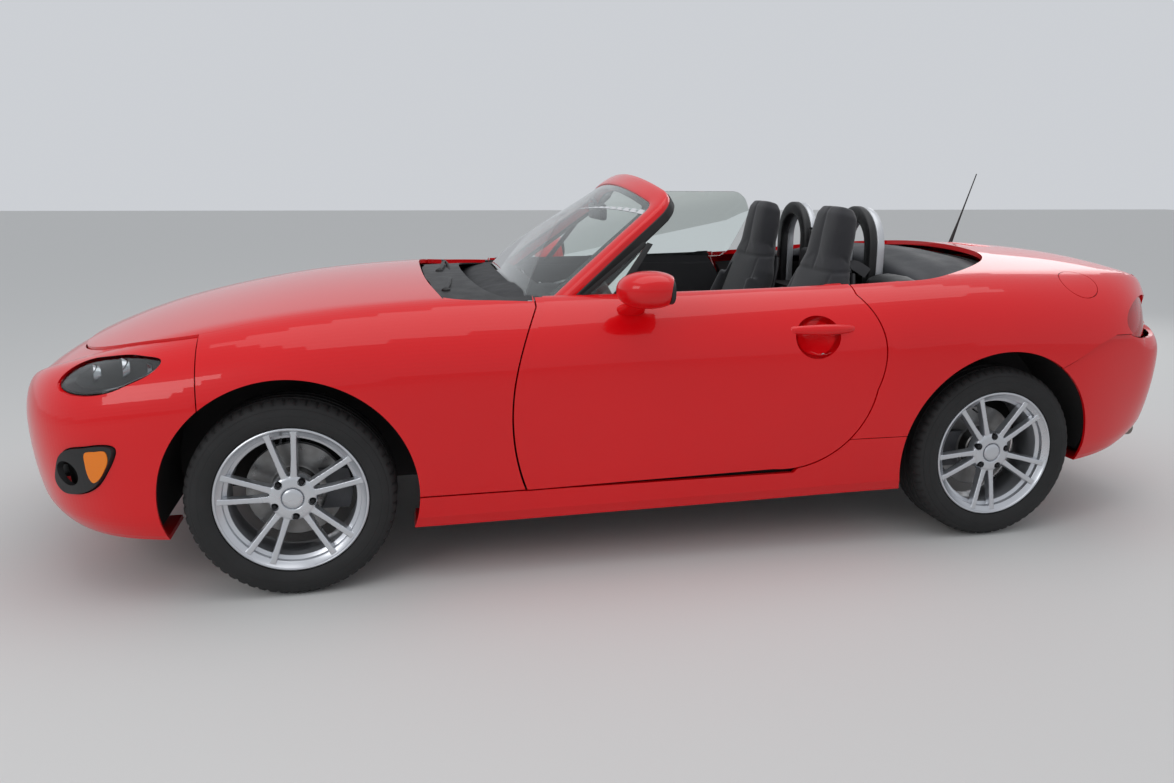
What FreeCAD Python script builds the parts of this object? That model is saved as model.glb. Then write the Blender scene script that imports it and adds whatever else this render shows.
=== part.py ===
import FreeCAD, Part

import math
import os

V = FreeCAD.Vector

# Two-seat open roadster. Origin on the ground under the middle of the car, nose towards -X,
# the car's left side towards -Y, +Z up. All lengths in millimetres.

# Driving dimensions
FRONT_AXLE_X = -1175.0
WHEELBASE = 2330.0
REAR_AXLE_X = FRONT_AXLE_X + WHEELBASE
TRACK_HALF = 745.0
TYRE_R = 302.0
TYRE_WIDTH = 205.0
RIM_R = 202.7
RIM_FLANGE_R = 220.5
RIM_WIDTH = 190.0
RIM_WALL = 10.0
HUB_R = 70.0
LUG_PCD = 114.3
LUG_HOLE_R = 8.0
DISC_R = 145.0
DISC_THICKNESS = 22.0
DISC_FACE = 23.0
CALIPER_IN = 32.0
CALIPER_OUT = 22.0
ARCH_R = 368.0
HOUSE_GAP = 18.0
HOUSE_WALL = 14.0
HOUSE_INNER_Y = 400.0

SKIN = 20.0
SEAT_GAP = 0.3
SEAM = 5.0

SILL_Z = 287.0
SILL_REAR_Z = 390.0
BUMPER_SEAM_X = -1406.0
FRONT_WALL_X = -720.0
REAR_WALL_X = 800.0
CABIN_HALF = 660.0
FLOOR_Z = 240.0
DOOR_INNER_Y = 700.0
HINGE_X = -430.0
HINGE_Y = 824.0
HINGE_PIN_R = 6.0
HINGE_HEIGHTS = (450.0, 590.0)
HINGE_ARM = 40.0
HINGE_EYE = 20.0
STEER_Y = 665.0
KINGPIN_R = 15.0
SPINDLE_R = 16.0
ARM_THICKNESS = 22.0
LOWER_ARM_Z = 165.0
UPPER_ARM_Z = 440.0
SEAT_Y = 355.0
FAR = 3000.0

HALF_LENGTH = 2020.0
NOSE_WALL_X = -1800.0
TAIL_WALL_X = 1940.0
TRAY_X = -1760.0
TRAY_HALF = 600.0
TAIL_TRAY_X = 1890.0
TAIL_TRAY_Z = 345.0
SILL_INNER_Y = 690.0
BAY_FLOOR_Z = 262.0
CORE_FLOOR_Z = 220.0
REAR_HOUSE_Y = 560.0
REAR_CROSS_TOP = 252.0
SLAM_X = -1690.0
SLAM_Z = 690.0
GUTTER_DROP = 45.0
LIP_Z = 716.0
POST_TOP = 820.0
DOOR_REBATE = 22.0
DECK_HALF = 560.0
SHELF_Z = 780.0
SHELF_REAR_X = 930.0
WELL_Z = 702.0
BOOT_X0 = 1395.0
BOOT_X1 = 1885.0
BOOT_HALF = 450.0
BOOT_FLOOR_Z = 360.0
MOUTH_HALF = 420.0
MOUTH_LOW = 255.0
MOUTH_HIGH = 395.0
GRILLE_BAR_Z = (282.0, 322.0, 362.0)
PLATE_HALF = 155.0
PLATE_LOW = 386.0
PLATE_HIGH = 516.0
PLATE_HOLE_PITCH = 177.8
PLATE_HOLE_R = 3.5
PLATE_HOLE_Z = 490.0
REAR_PLATE_Z = 560.0
JACK_X = (-560.0, 600.0)
JACK_Y = 760.0
JACK_Z = 194.0
# Rubber buffers under the bonnet and the boot lid: x, y, radius
BONNET_BUFFERS = ((-1730, 380, 14), (-1560, 600, 14))
LID_BUFFERS = ((1410, 520, 12), (1800, 540, 12))
REAR_SEAM = ((1340, 592), (1588, 707), (1700, 703), (FAR, 703))
TAIL_SPLIT_X = 1700.0
# Inner edge of the bumper's shelf, in plan
SHELF_HOLE_PLAN = ((1690, 0), (1690, 782), (1750, 747), (1800, 711), (1840, 668), (1865, 637), (1890, 597),
                   (1910, 557), (1925, 510), (1934, 462), (1936, 0))
LAMP_REACH = 170.0
# Lamp centre, direction of its length, outline as distances along that direction and above it
HEADLAMP = ((-1640, -715, 690), (310, -205, 80),
            ((-143, -8), (-132, 15), (-104, 32), (-20, 36), (59, 28), (116, 14), (157, -8), (138, -30),
             (101, -43), (60, -54), (5, -58), (-65, -48), (-118, -30)))
TAIL_LAMP = ((1790, -700, 776), (-200, -215, 12),
             ((-185, -18), (-150, 22), (-80, 42), (5, 47), (74, 37), (142, 9), (172, -16), (183, -47),
              (164, -72), (119, -90), (40, -97), (-60, -90), (-140, -66), (-178, -42)))
FOG = ((-1745, -745, 432), (215, -150, 0),
       ((-66, -22), (-42, 18), (-10, 42), (50, 54), (110, 62), (138, 55), (132, 24), (108, -16), (76, -56),
        (23, -86), (-25, -95), (-62, -90), (-80, -66)))
FUEL_CENTRE = (1483, -735, 867)
FUEL_R = 70.0
FUEL_AXIS = V(0, -0.62, 0.785)
HANDLE_X = 475.0
HANDLE_Y = 842.0
HANDLE_Z = 760.0
HANDLE_HALF = 118.0
CUP_R = 52.0
# Side outline of the door: front edge from the bottom up, rear edge from the top down, then the sweep
DOOR_FRONT = ((-481, 288), (-509, 640), (-433, 845))
DOOR_REAR = ((618, 862), (693, 704), (672, 560))
DOOR_SWEEP = (565, 372)
DOOR_LOW_REAR = (330, 303)
MOUTH_BACK_X = -1850.0
MOUTH_TAPER = 60.0
GRILLE_X = (-1958.0, -1850.0)
GRILLE_BAR = 12.0
GRILLE_POST_Y = (-250.0, 0.0, 250.0)
WING_INNER_Y = 640.0
WING_NOTCH = (-620.0, 700.0)
BAR_DEPTH = (17.0, 32.0)
BAR_HALF_HEIGHT = 13.0
COWL_DROP = 30.0
COWL_THICKNESS = 15.0
WIPER_X = -690.0
WIPER_PIVOTS = (-470.0, -20.0)
WIPER_POST = (16.0, 820.0, 884.0)
# Wiper arm and blade: two ends, from the pivot across and absolute in height, then a radius
WIPER_ARM = ((0, 0, 880), (40, 330, 905), 6.0)
WIPER_BLADE = ((42, 110, 908), (34, 440, 896), 5.0)
SCREEN_X = -585.0
SCREEN_Z = 869.0
SCREEN_RAKE = math.radians(31.5)
SCREEN_R = 1950.0
SCREEN_FILLET = 46.0
HEADER_TOP = 705.0
GLASS_TOP = 636.0
# Half outlines of the screen: distance up its slope and half-width
FRAME_OUTLINE = ((60, 752), (140, 735), (600, 590), (HEADER_TOP, 548))
GLASS_OUTLINE = ((20, 722), (130, 686), (600, 532), (GLASS_TOP, 520))
FRAME_FILLET = 70.0
FRAME_OUT = 6.0
GLASS_DEPTH = (2.0, 7.0)
SCREEN_FOOT_X = (-470.0, -395.0)
FRAME_DEPTH = 46.0
SPOKE_FACE = 72.0
CALIPER_R = 168.0
MUFFLER_X0 = 1560.0
MUFFLER_X1 = 1800.0
MUFFLER_TOP = 340.0
UNDER_HALF = 585.0
TIP_Y = 500.0
TIP_Z = 268.0
TIP_R = 32.0
PIPE_Z = 190.0
PIPE_R = 26.0
CROSS_HALF_LENGTH = 110.0
FRONT_CROSS_HALF = 345.0
REAR_CROSS_HALF = 400.0
WISHBONE_SPREAD = 100.0
WISHBONE_INNER_Y = 340.0
UPRIGHT_HALF = 45.0
BRIDGE_HALF = 40.0
SHAFT_R = 24.0
CALIPER_HOLE_R = 94.0
CALIPER_HALF = 62.0
ENGINE_LOWER = (-1400, -860, -230, 230)
ENGINE_UPPER = (-1380, -900, -150, 150)
ENGINE_JOINT_Z = 600.0
ENGINE_TOP = 700.0
# Side profiles in the cabin: x and z
DASH_PROFILE = ((-600, 560), (-600, 800), (-560, 832), (-470, 850), (-350, 846), (-296, 800), (-310, 690),
                (-400, 570))
CONSOLE_PROFILE = ((-560, FLOOR_Z + SEAT_GAP), (-560, 560), (-400, 560), (-260, 470), (120, 450), (200, 520),
                   (560, 530), (640, 420), (640, FLOOR_Z + SEAT_GAP))
SEAT_SIDE = ((30, 262), (10, 400), (60, 440), (440, 380), (500, 450), (610, 800), (672, 960), (690, 1110),
             (720, 1140), (772, 1132), (790, 1060), (742, 800), (640, 400), (590, 262))
# Half front outline of a seat: y and z
SEAT_FRONT = ((250, 262), (250, 740), (215, 850), (140, 915), (128, 1080), (90, 1140))
SEAT_HALF = 300.0
RAIL_X = (90.0, 560.0)
RAIL_Y = 190.0
RAIL_TOP = 270.0
LEVER = ((-60, 0, 455), (-80, 0, 560), 8.0)
KNOB = ((-82, 0, 572), 24.0)
# Folded top: x, half-width, height of the edge and of the middle
TOP_SECTIONS = ((SHELF_REAR_X, 690, 872, 944), (1060, 640, 890, 964), (1190, 545, 905, 958),
                (1290, 420, 915, 942), (1335, 300, 922, 934))
COLUMN_TILT = math.radians(24)
SHROUD_R = 42.0
STEM_R = 12.0
WHEEL_HUB_R = 62.0
WHEEL_GRIP_R = 14.0
WHEEL_SPOKE_R = 11.0
STEERING_WHEEL = (-110, -355, 745)
STEERING_R = 176.0
CONSOLE_HALF = 95.0
HOOP_X = 835.0
HOOP_Y = 290.0
HOOP_HALF = 150.0
HOOP_TUBE = 52.0
HOOP_TOP = 1130.0
HOOP_DEPTH = 62.0
MIRROR = (-118, -900, 905)
MIRROR_RADII = (98.0, 92.0, 56.0)
MIRROR_FACE = 66.0
# Mirror foot: corners at its lower and its upper end
MIRROR_FOOT_LOW = ((-205, -800), (-90, -800), (-90, -760), (-205, -760))
MIRROR_FOOT_HIGH = ((-165, -905), (-100, -905), (-100, -850), (-165, -850))
MIRROR_FOOT_Z = (760.0, 900.0)
# Side outlines of the door glass: x and z
QUARTER_PANE = ((-300, 848), (-196, 848), (-66, 1030), (-72, 1034))
QUARTER_POST = ((-195, 848), (-172, 848), (-44, 1030), (-62, 1036))
RAISED_PANE = ((-170, 848), (655, 868), (700, 900), (778, 1080), (735, 1180), (75, 1180), (-30, 1044))
RAISED_CORNER = (735, 1180)
RAISED_FILLET = 60.0
PANE_THICKNESS = 5.0
POD = (1450, 1590, -120, 120, 900, 968, 20)
MAST_LENGTH = 400.0
MAST_R = 4.0
BELT_Z = 848.0
BELT_Y = 717.0
PANE_LEAN = 16.0
ANTENNA_BASE = (1800, 606, 862)

AXLE_Z = TYRE_R
WHEELS = (("fl", FRONT_AXLE_X, -1), ("fr", FRONT_AXLE_X, 1), ("rl", REAR_AXLE_X, -1), ("rr", REAR_AXLE_X, 1))
SIDES = (("left", -1), ("right", 1))

# Body sections from nose to tail. Columns: x, height of the crown on the centreline, shoulder y and z,
# widest y and z, lower edge of the side y and z, bottom edge y and z.
FRONT_SECTIONS = (
    (-2000, 545, 165, 538, 262, 475, 225, 385, 170, 345),
    (-1978, 592, 262, 580, 385, 488, 335, 315, 280, 275),
    (-1925, 642, 385, 620, 558, 505, 492, 275, 430, 238),
    (-1830, 693, 512, 663, 710, 524, 655, 255, 598, 214),
    (-1660, 756, 620, 720, 812, 550, 780, 248, 745, 203),
    (-1420, 814, 680, 776, 846, 585, 820, 250, 800, 200),
    (-1175, 856, 690, 816, 853, 620, 829, 268, 808, 200),
    (-760, 889, 700, 848, 846, 645, 827, 285, 812, 200),
    (-300, 905, 722, 853, 844, 662, 824, 287, 812, 203),
    (250, 915, 728, 860, 846, 672, 825, 290, 812, 207),
    (700, 935, 722, 876, 852, 680, 830, 300, 816, 212),
    (1155, 953, 695, 900, 860, 678, 836, 318, 818, 222),
    (1480, 948, 682, 897, 846, 660, 816, 310, 790, 248),
)
# The tail above the bumper seam is set in from the bumper
BODY = FRONT_SECTIONS + (
    (1700, 934, 655, 892, 794, 650, 765, 318, 742, 278),
    (1800, 921, 618, 880, 722, 640, 700, 338, 678, 306),
    (1865, 904, 568, 862, 648, 634, 622, 354, 602, 324),
    (1910, 884, 488, 842, 566, 630, 546, 372, 526, 342),
    (1935, 850, 395, 815, 470, 628, 452, 390, 436, 362),
    (1948, 800, 310, 775, 385, 626, 368, 416, 354, 388),
)
BUMPER = FRONT_SECTIONS + (
    (1700, 934, 655, 892, 794, 650, 765, 318, 742, 278),
    (1860, 860, 590, 790, 724, 612, 676, 345, 636, 312),
    (1915, 800, 520, 745, 658, 610, 606, 358, 566, 325),
    (1950, 778, 462, 726, 602, 610, 548, 370, 508, 335),
    (1982, 764, 380, 720, 515, 612, 462, 388, 420, 350),
    (2006, 752, 270, 715, 390, 612, 350, 420, 310, 380),
    (2020, 745, 180, 712, 280, 612, 250, 452, 215, 415),
)


def line(a, b):
    return Part.LineSegment(V(*a), V(*b)).toShape()


def arc(a, b, c):
    return Part.Arc(V(*a), V(*b), V(*c)).toShape()


def bulge(a, b, lean):
    """Middle point of an arc from a to b in a cross-section, swelling outwards by its lean."""
    chord_y, chord_z = b[1] - a[1], b[2] - a[2]
    length = math.hypot(chord_y, chord_z)
    rise = length * math.tan(lean / 2) / 2
    out_y, out_z = abs(chord_z) / length, (1 if chord_z < 0 else -1) * -abs(chord_y) / length
    if b[2] < a[2] and b[1] > a[1]:
        out_z = abs(chord_y) / length
    side = 1 if a[1] > 0 else -1
    return (a[0], (a[1] + b[1]) / 2 + side * out_y * rise, (a[2] + b[2]) / 2 + out_z * rise)


def body_section(row, inset):
    x, crown_z, top_y, top_z, wide_y, wide_z, low_y, low_z, floor_y, floor_z = row
    x = x * (HALF_LENGTH - inset) / HALF_LENGTH
    crown = (x, 0, crown_z - inset)
    top = (x, top_y - inset, top_z - inset)
    wide = (x, wide_y - inset, wide_z)
    low = (x, low_y - inset, low_z + inset / 2)
    floor = (x, floor_y - inset, floor_z + inset)
    lean_up = math.atan2(wide[1] - top[1], top[2] - wide[2])
    lean_down = math.atan2(wide[1] - low[1], wide[2] - low[2])
    upper = bulge(top, wide, lean_up)
    lower = bulge(wide, low, lean_down)

    def other(p):
        return (p[0], -p[1], p[2])

    edges = [
        arc(other(top), crown, top),
        arc(top, upper, wide),
        arc(wide, lower, low),
        line(low, floor),
        line(floor, other(floor)),
        line(other(floor), other(low)),
        arc(other(low), other(lower), other(wide)),
        arc(other(wide), other(upper), other(top)),
    ]
    return Part.Wire(edges)


def body_loft(inset, rows=BODY):
    return Part.makeLoft([body_section(row, inset) for row in rows], True, False)


def box(x0, x1, y0, y1, z0, z1):
    return Part.makeBox(x1 - x0, y1 - y0, z1 - z0, V(x0, y0, z0))


def side_prism(edges, side, y_from=0.0, y_to=1200.0):
    """Solid from an outline in the side view, between two distances from the centreline."""
    face = Part.Face(Part.Wire(edges))
    face.translate(V(0, side * y_from, 0))
    return face.extrude(V(0, side * (y_to - y_from), 0))


def plan_prism(points, z0, z1):
    """Solid from a plan outline given for +Y and mirrored; points run from the nose to the tail."""
    full = [V(x, y, z0) for x, y in points] + [V(x, -y, z0) for x, y in reversed(points) if y]
    face = Part.Face(Part.makePolygon(full + [full[0]]))
    return face.extrude(V(0, 0, z1 - z0))


def cyl_y(x, z, r, y0, y1):
    low, high = min(y0, y1), max(y0, y1)
    return Part.makeCylinder(r, high - low, V(x, low, z), V(0, 1, 0))


def cyl_z(x, y, r, z0, z1):
    return Part.makeCylinder(r, z1 - z0, V(x, y, z0))


def mirror_y(shape):
    return shape.mirror(V(0, 0, 0), V(0, 1, 0))


def fuse(shapes):
    result = shapes[0]
    if len(shapes) > 1:
        result = result.multiFuse(shapes[1:])
    return result.removeSplitter()


def arch_tunnels(radius, inner_y):
    cuts = []
    for _, x, side in WHEELS:
        cuts.append(cyl_y(x, AXLE_Z, radius, side * inner_y, side * FAR))
    return cuts


def door_front(grow):
    """Three points of the arc that is the door's front edge."""
    (low_x, low_z), (mid_x, mid_z), (top_x, top_z) = DOOR_FRONT
    return (low_x - grow, 0, low_z - grow), (mid_x - grow, 0, mid_z), (top_x - grow, 0, top_z)


def door_outline(grow):
    """Side outline of the door, grown by a distance all round; its top runs out above the body."""
    g = grow
    front_low, front_mid, front_top = door_front(g)
    low_rear = (DOOR_LOW_REAR[0], 0, DOOR_LOW_REAR[1] - g)
    sweep = (DOOR_SWEEP[0] + 0.6 * g, 0, DOOR_SWEEP[1] - 0.8 * g)
    rear_top, rear_mid, rear_low = ((x + g, 0, z) for x, z in DOOR_REAR)
    return [
        arc(front_low, front_mid, front_top),
        line(front_top, (front_top[0], 0, FAR)),
        line((front_top[0], 0, FAR), (rear_top[0], 0, FAR)),
        line((rear_top[0], 0, FAR), rear_top),
        arc(rear_top, rear_mid, rear_low),
        arc(rear_low, sweep, low_rear),
        line(low_rear, front_low),
    ]


def door_prism(side, grow, y_from=0.0):
    """The door's outline as a solid; outboard of the hinge pins its front edge is turned about them."""
    front_low, front_mid, front_top = door_front(grow)
    profile = Part.Face(Part.Wire([
        arc(front_low, front_mid, front_top),
        line(front_top, (HINGE_X, 0, front_top[2])),
        line((HINGE_X, 0, front_top[2]), (HINGE_X, 0, front_low[2])),
        line((HINGE_X, 0, front_low[2]), front_low)]))
    nose = profile.revolve(V(HINGE_X, 0, 0), V(0, 0, 1), 360)
    nose.translate(V(0, side * HINGE_Y, 0))
    y0, y1 = sorted((side * HINGE_Y, side * FAR))
    spare = box(-FAR, HINGE_X, y0, y1, 0, FAR).cut(nose)
    return side_prism(door_outline(grow), side, y_from).cut(spare)


BONNET_PLAN = ((-1850, 0), (-1838, 200), (-1800, 380), (-1700, 560), (-1560, 672), (-1406, 722),
               (-1200, 712), (-985, 700), (-712, 688), (-745, 440), (-758, 200), (-760, 0))
COWL_PLAN = ((-750, 0), (-748, 200), (-735, 440), (-703, 684), (-560, 722), (-445, 738), (-440, 690),
             (-520, 600), (-585, 400), (-605, 200), (-610, 0))
LID_PLAN = ((1378, 0), (1378, 560), (1392, 592), (1740, 640), (1850, 560), (1900, 470), (2100, 455),
            (2100, 0))
TOP_PLAN = ((790, 0), (790, 718), (920, 716), (1040, 670), (1150, 596), (1250, 500), (1320, 380),
            (1352, 220), (1360, 0))


def fuel_tool(radius):
    return Part.makeCylinder(radius, 120, V(*FUEL_CENTRE) - FUEL_AXIS * 60, FUEL_AXIS)


def grown_plan(points, distance):
    """Plan outline moved outwards by a distance."""
    out = []
    count = len(points)
    for i, (x, y) in enumerate(points):
        if y == 0:
            direction = -1 if i == 0 else 1
            out.append((x + direction * distance, 0))
            continue
        (xa, ya), (xb, yb) = points[i - 1], points[(i + 1) % count]
        tx, ty = xb - xa, yb - ya
        length = math.hypot(tx, ty)
        out.append((x - ty / length * distance, y + tx / length * distance))
    return out


def rounded_box(x0, x1, y0, y1, z0, z1, radius):
    solid = box(x0, x1, y0, y1, z0, z1)
    return solid.makeFillet(radius, solid.Edges)


def both_sides(shape):
    return [shape, mirror_y(shape)]


def corner_lamp(data, grow):
    """Solid through the skin inside a lamp's outline, grown by a distance; it faces outwards."""
    centre, along, outline = data
    u = V(*along).normalize()
    w = V(0, 0, 1) - u * u.z
    w.normalize()
    axis = u.cross(w)
    start = V(*centre) - axis * LAMP_REACH
    curve = Part.BSplineCurve()
    curve.interpolate([start + u * a + w * b for a, b in grown_plan(outline, grow)], PeriodicFlag=True)
    return Part.Face(Part.Wire([curve.toShape()])).extrude(axis * (2 * LAMP_REACH))


nodes = {}
half = SEAM / 2

# Body skin: an outer and an inner loft, with the wheel arches cut through
outer = body_loft(0)
inner = body_loft(SKIN)
core = body_loft(SKIN + SEAT_GAP)
over_body = body_loft(-SEAT_GAP)
arches = Part.makeCompound(arch_tunnels(ARCH_R, HOUSE_INNER_Y))
shell = outer.cut(inner).cut(arches)

bonnet_tool = plan_prism(BONNET_PLAN, 560, FAR)
bonnet_gap = plan_prism(grown_plan(BONNET_PLAN, SEAM), 560, FAR)
lid_tool = plan_prism(LID_PLAN, 706, FAR)
lid_gap = plan_prism(grown_plan(LID_PLAN, SEAM), 701, FAR)
top_gap = plan_prism(grown_plan(TOP_PLAN, SEAM), 500, FAR)

nodes["bonnet"] = shell.common(bonnet_tool)
nodes["boot_lid"] = shell.common(lid_tool)

# Corner lamps: each is a length of the skin inside an oval prism
lamp_cuts = []
for data in (HEADLAMP, TAIL_LAMP, FOG):
    lamp_cuts += both_sides(corner_lamp(data, half))
for name, data in (("headlamps", HEADLAMP), ("tail_lamps", TAIL_LAMP), ("fog_bezels", FOG)):
    lamp = shell.common(corner_lamp(data, 0)).cut(bonnet_gap).cut(lid_gap)
    nodes[name] = Part.makeCompound(both_sides(lamp))

# Front bumper with its mouth, and the grille and plate bracket in it
mouth_plan = ((-FAR, 0), (-FAR, MOUTH_HALF), (MOUTH_BACK_X, MOUTH_HALF - MOUTH_TAPER), (MOUTH_BACK_X, 0))
mouth = plan_prism(mouth_plan, MOUTH_LOW, MOUTH_HIGH)
bumper = shell.common(box(-FAR, BUMPER_SEAM_X - half, -FAR, FAR, 0, FAR))
tray = box(TRAY_X, 0, -TRAY_HALF, TRAY_HALF, 0, FLOOR_Z)
nodes["front_bumper"] = bumper.cut(Part.makeCompound([bonnet_gap, mouth, tray] + lamp_cuts))

grille_half = MOUTH_HALF - 40
bars = [box(*GRILLE_X, -grille_half, grille_half, z, z + GRILLE_BAR) for z in GRILLE_BAR_Z]
post_z = (MOUTH_LOW - 8, MOUTH_HIGH + 12)
posts = [box(GRILLE_X[0] + 3, GRILLE_X[1], y - GRILLE_BAR / 2, y + GRILLE_BAR / 2, *post_z)
         for y in GRILLE_POST_Y]
nodes["grille"] = fuse(bars + posts).common(core)
bracket = rounded_box(-HALF_LENGTH, -1960, -PLATE_HALF, PLATE_HALF, PLATE_LOW, PLATE_HIGH, 6)
bracket = bracket.cut(over_body)
for y in (-PLATE_HOLE_PITCH / 2, PLATE_HOLE_PITCH / 2):
    place = V(-HALF_LENGTH - 5, y, PLATE_HOLE_Z)
    bracket = bracket.cut(Part.makeCylinder(PLATE_HOLE_R, 60, place, V(1, 0, 0)))
nodes["plate_bracket"] = bracket

# Wings between the bumper seam and the door
door_hole = door_prism(-1, SEAM)
wing = shell.common(box(BUMPER_SEAM_X + half, HINGE_X, -FAR, -WING_INNER_Y, SILL_Z + half, FAR))
cowl_hole = plan_prism(grown_plan(COWL_PLAN, half), 600, FAR)
wing_notch = box(WING_NOTCH[0], HINGE_X, -WING_NOTCH[1], -WING_INNER_Y, 600, FAR)
wing = wing.cut(Part.makeCompound([bonnet_gap, cowl_hole, door_hole, wing_notch]))
nodes["wing_left"] = wing
nodes["wing_right"] = mirror_y(wing)

# Sill below the door, from arch to arch, rising at its rear end
sill_zone = side_prism([
    line((-1000, 0, 0), (-1000, 0, SILL_Z - half)),
    line((-1000, 0, SILL_Z - half), (400, 0, SILL_Z - half)),
    line((400, 0, SILL_Z - half), (520, 0, SILL_REAR_Z)),
    line((520, 0, SILL_REAR_Z), (1000, 0, SILL_REAR_Z)),
    line((1000, 0, SILL_REAR_Z), (1000, 0, 0)),
    line((1000, 0, 0), (-1000, 0, 0)),
], -1, SILL_INNER_Y)
sill = shell.common(sill_zone).cut(door_hole)
pads = [box(x - 40, x + 40, -JACK_Y - 25, -JACK_Y + 25, JACK_Z, JACK_Z + 18) for x in JACK_X]
sill = fuse([sill] + pads)
nodes["sills"] = Part.makeCompound(both_sides(sill))

# Rear bumper below its seam, quarters above it, and the deck between top and boot lid
seam_low = [V(x, -FAR, z - half) for x, z in REAR_SEAM]
seam_high = [V(x, -FAR, z + half) for x, z in REAR_SEAM]
seam_x = REAR_SEAM[0][0]
low_zone = Part.Face(Part.makePolygon(seam_low + [V(FAR, -FAR, 0), V(seam_x, -FAR, 0), seam_low[0]]))
low_zone = low_zone.extrude(V(0, 2 * FAR, 0))
tail_tray = box(0, TAIL_TRAY_X, -TRAY_HALF, TRAY_HALF, 0, TAIL_TRAY_Z)
tip_holes = [Part.makeCylinder(TIP_R + 12, 400, V(1700, y, TIP_Z), V(1, 0, 0)) for y in (-TIP_Y, TIP_Y)]
plate_holes = [Part.makeCylinder(PLATE_HOLE_R, 200, V(1900, y, REAR_PLATE_Z), V(1, 0, 0))
               for y in (-PLATE_HOLE_PITCH / 2, PLATE_HOLE_PITCH / 2)]
# Its side is a length of the body skin; its tail stands out from the body and is closed by a shelf on top
behind = box(TAIL_SPLIT_X, FAR, -FAR, FAR, 0, FAR)
under_shelf = box(TAIL_SPLIT_X - 1, FAR, -FAR, FAR, 0, REAR_SEAM[-1][1] - half - SKIN)
hollow = body_loft(SKIN, BUMPER).common(under_shelf)
tail = body_loft(0, BUMPER).common(low_zone).common(box(TAIL_SPLIT_X, HALF_LENGTH, -FAR, FAR, 0, FAR))
tail = tail.cut(hollow).cut(plan_prism(SHELF_HOLE_PLAN, 600, FAR))
bumper = shell.common(low_zone).cut(behind).fuse(tail).removeSplitter()
nodes["rear_bumper"] = bumper.cut(Part.makeCompound([tail_tray] + tip_holes + lamp_cuts + plate_holes))

high_zone = Part.Face(Part.makePolygon(
    seam_high + [V(FAR, -FAR, FAR), V(560, -FAR, FAR), V(560, -FAR, SILL_REAR_Z + half),
                 V(seam_x, -FAR, SILL_REAR_Z + half), seam_high[0]]))
high_zone = high_zone.extrude(V(0, FAR, 0))
deck_cut = box(1200, 1500, -DECK_HALF, DECK_HALF, 700, FAR)
cockpit_cut = box(500, TOP_PLAN[0][0] + 1, -TOP_PLAN[1][1] - SEAM, 0, 500, FAR)
quarter = shell.common(high_zone).cut(Part.makeCompound(
    [lid_gap, top_gap, door_hole, deck_cut, cockpit_cut, box(560, FAR, -300, 0, 0, FAR)] + lamp_cuts))
nodes["rear_deck"] = shell.common(deck_cut).cut(Part.makeCompound([lid_gap, top_gap]))
nodes["fuel_lid"] = quarter.common(fuel_tool(FUEL_R))
nodes["quarter_left"] = quarter.cut(fuel_tool(FUEL_R + SEAM))
nodes["quarter_right"] = mirror_y(quarter)

# Doors: the skin reaches the seam, the box inside it stops short of the seam and of the hinge post
skin_zone = door_prism(-1, 0, DOOR_INNER_Y)
box_zone = side_prism(door_outline(-DOOR_REBATE), -1, DOOR_INNER_Y)
box_zone = box_zone.common(box(HINGE_X + 14, FAR, -FAR, 0, 0, FAR))
door = shell.common(skin_zone).fuse(inner.common(box_zone))
hinge_parts = []
for z in HINGE_HEIGHTS:
    eye_z = z + HINGE_ARM + 0.5
    door = door.cut(box(HINGE_X - 48, HINGE_X + 10, -HINGE_Y - 8.6, -HINGE_Y + 60, z - 5, eye_z))
    door = door.fuse(box(HINGE_X - 12, HINGE_X + 40, -HINGE_Y - 5, -HINGE_Y + 12, eye_z, eye_z + HINGE_EYE))
    door = door.cut(cyl_z(HINGE_X, -HINGE_Y, HINGE_PIN_R + SEAT_GAP, z, eye_z + HINGE_EYE + 6))
    hinge_parts.append(cyl_z(HINGE_X, -HINGE_Y, HINGE_PIN_R, z, eye_z + HINGE_EYE))
    hinge_parts.append(box(HINGE_X - 4, HINGE_X + 4, -HINGE_Y, -CABIN_HALF - 20, z, z + HINGE_ARM))
cup = Part.makeSphere(CUP_R, V(HANDLE_X, -HANDLE_Y - CUP_R + 16, HANDLE_Z))
bar = rounded_box(HANDLE_X - HANDLE_HALF, HANDLE_X + HANDLE_HALF,
                  -HANDLE_Y - BAR_DEPTH[1], -HANDLE_Y - BAR_DEPTH[0],
                  HANDLE_Z - BAR_HALF_HEIGHT, HANDLE_Z + BAR_HALF_HEIGHT, 6)
feet = [box(HANDLE_X + a, HANDLE_X + a + 30, -HANDLE_Y - 24, -HANDLE_Y + 8, HANDLE_Z - 9, HANDLE_Z + 9)
        for a in (-HANDLE_HALF + 6, HANDLE_HALF - 40)]
door = fuse([door.cut(cup), bar] + feet)
nodes["door_left"] = door
nodes["door_right"] = mirror_y(door)

# Cowl under the screen, with the two wipers lying on it
cowl_top = body_loft(COWL_DROP)
cowl_back = body_loft(COWL_DROP + COWL_THICKNESS)
cowl = cowl_top.cut(cowl_back).common(plan_prism(COWL_PLAN, 600, FAR))


def rod(a, b, r):
    a, b = V(*a), V(*b)
    return Part.makeCylinder(r, (b - a).Length, a, b - a)


wipers = []
for y in WIPER_PIVOTS:
    wipers.append(cyl_z(WIPER_X, y, *WIPER_POST).cut(cowl_back))
    for start, end, radius in (WIPER_ARM, WIPER_BLADE):
        low = (WIPER_X + start[0], y + start[1], start[2])
        high = (WIPER_X + end[0], y + end[1], end[2])
        wipers.append(rod(low, high, radius))
cowl = fuse([cowl] + wipers)
nodes["cowl_panel"] = cowl

# Windscreen: glass and frame are cut from one bent sheet that leans back
SCREEN_ALONG = V(math.cos(SCREEN_RAKE), 0, math.sin(SCREEN_RAKE))
SCREEN_OUT = V(-math.sin(SCREEN_RAKE), 0, math.cos(SCREEN_RAKE))
screen_base = V(SCREEN_X, 0, SCREEN_Z)


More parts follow.
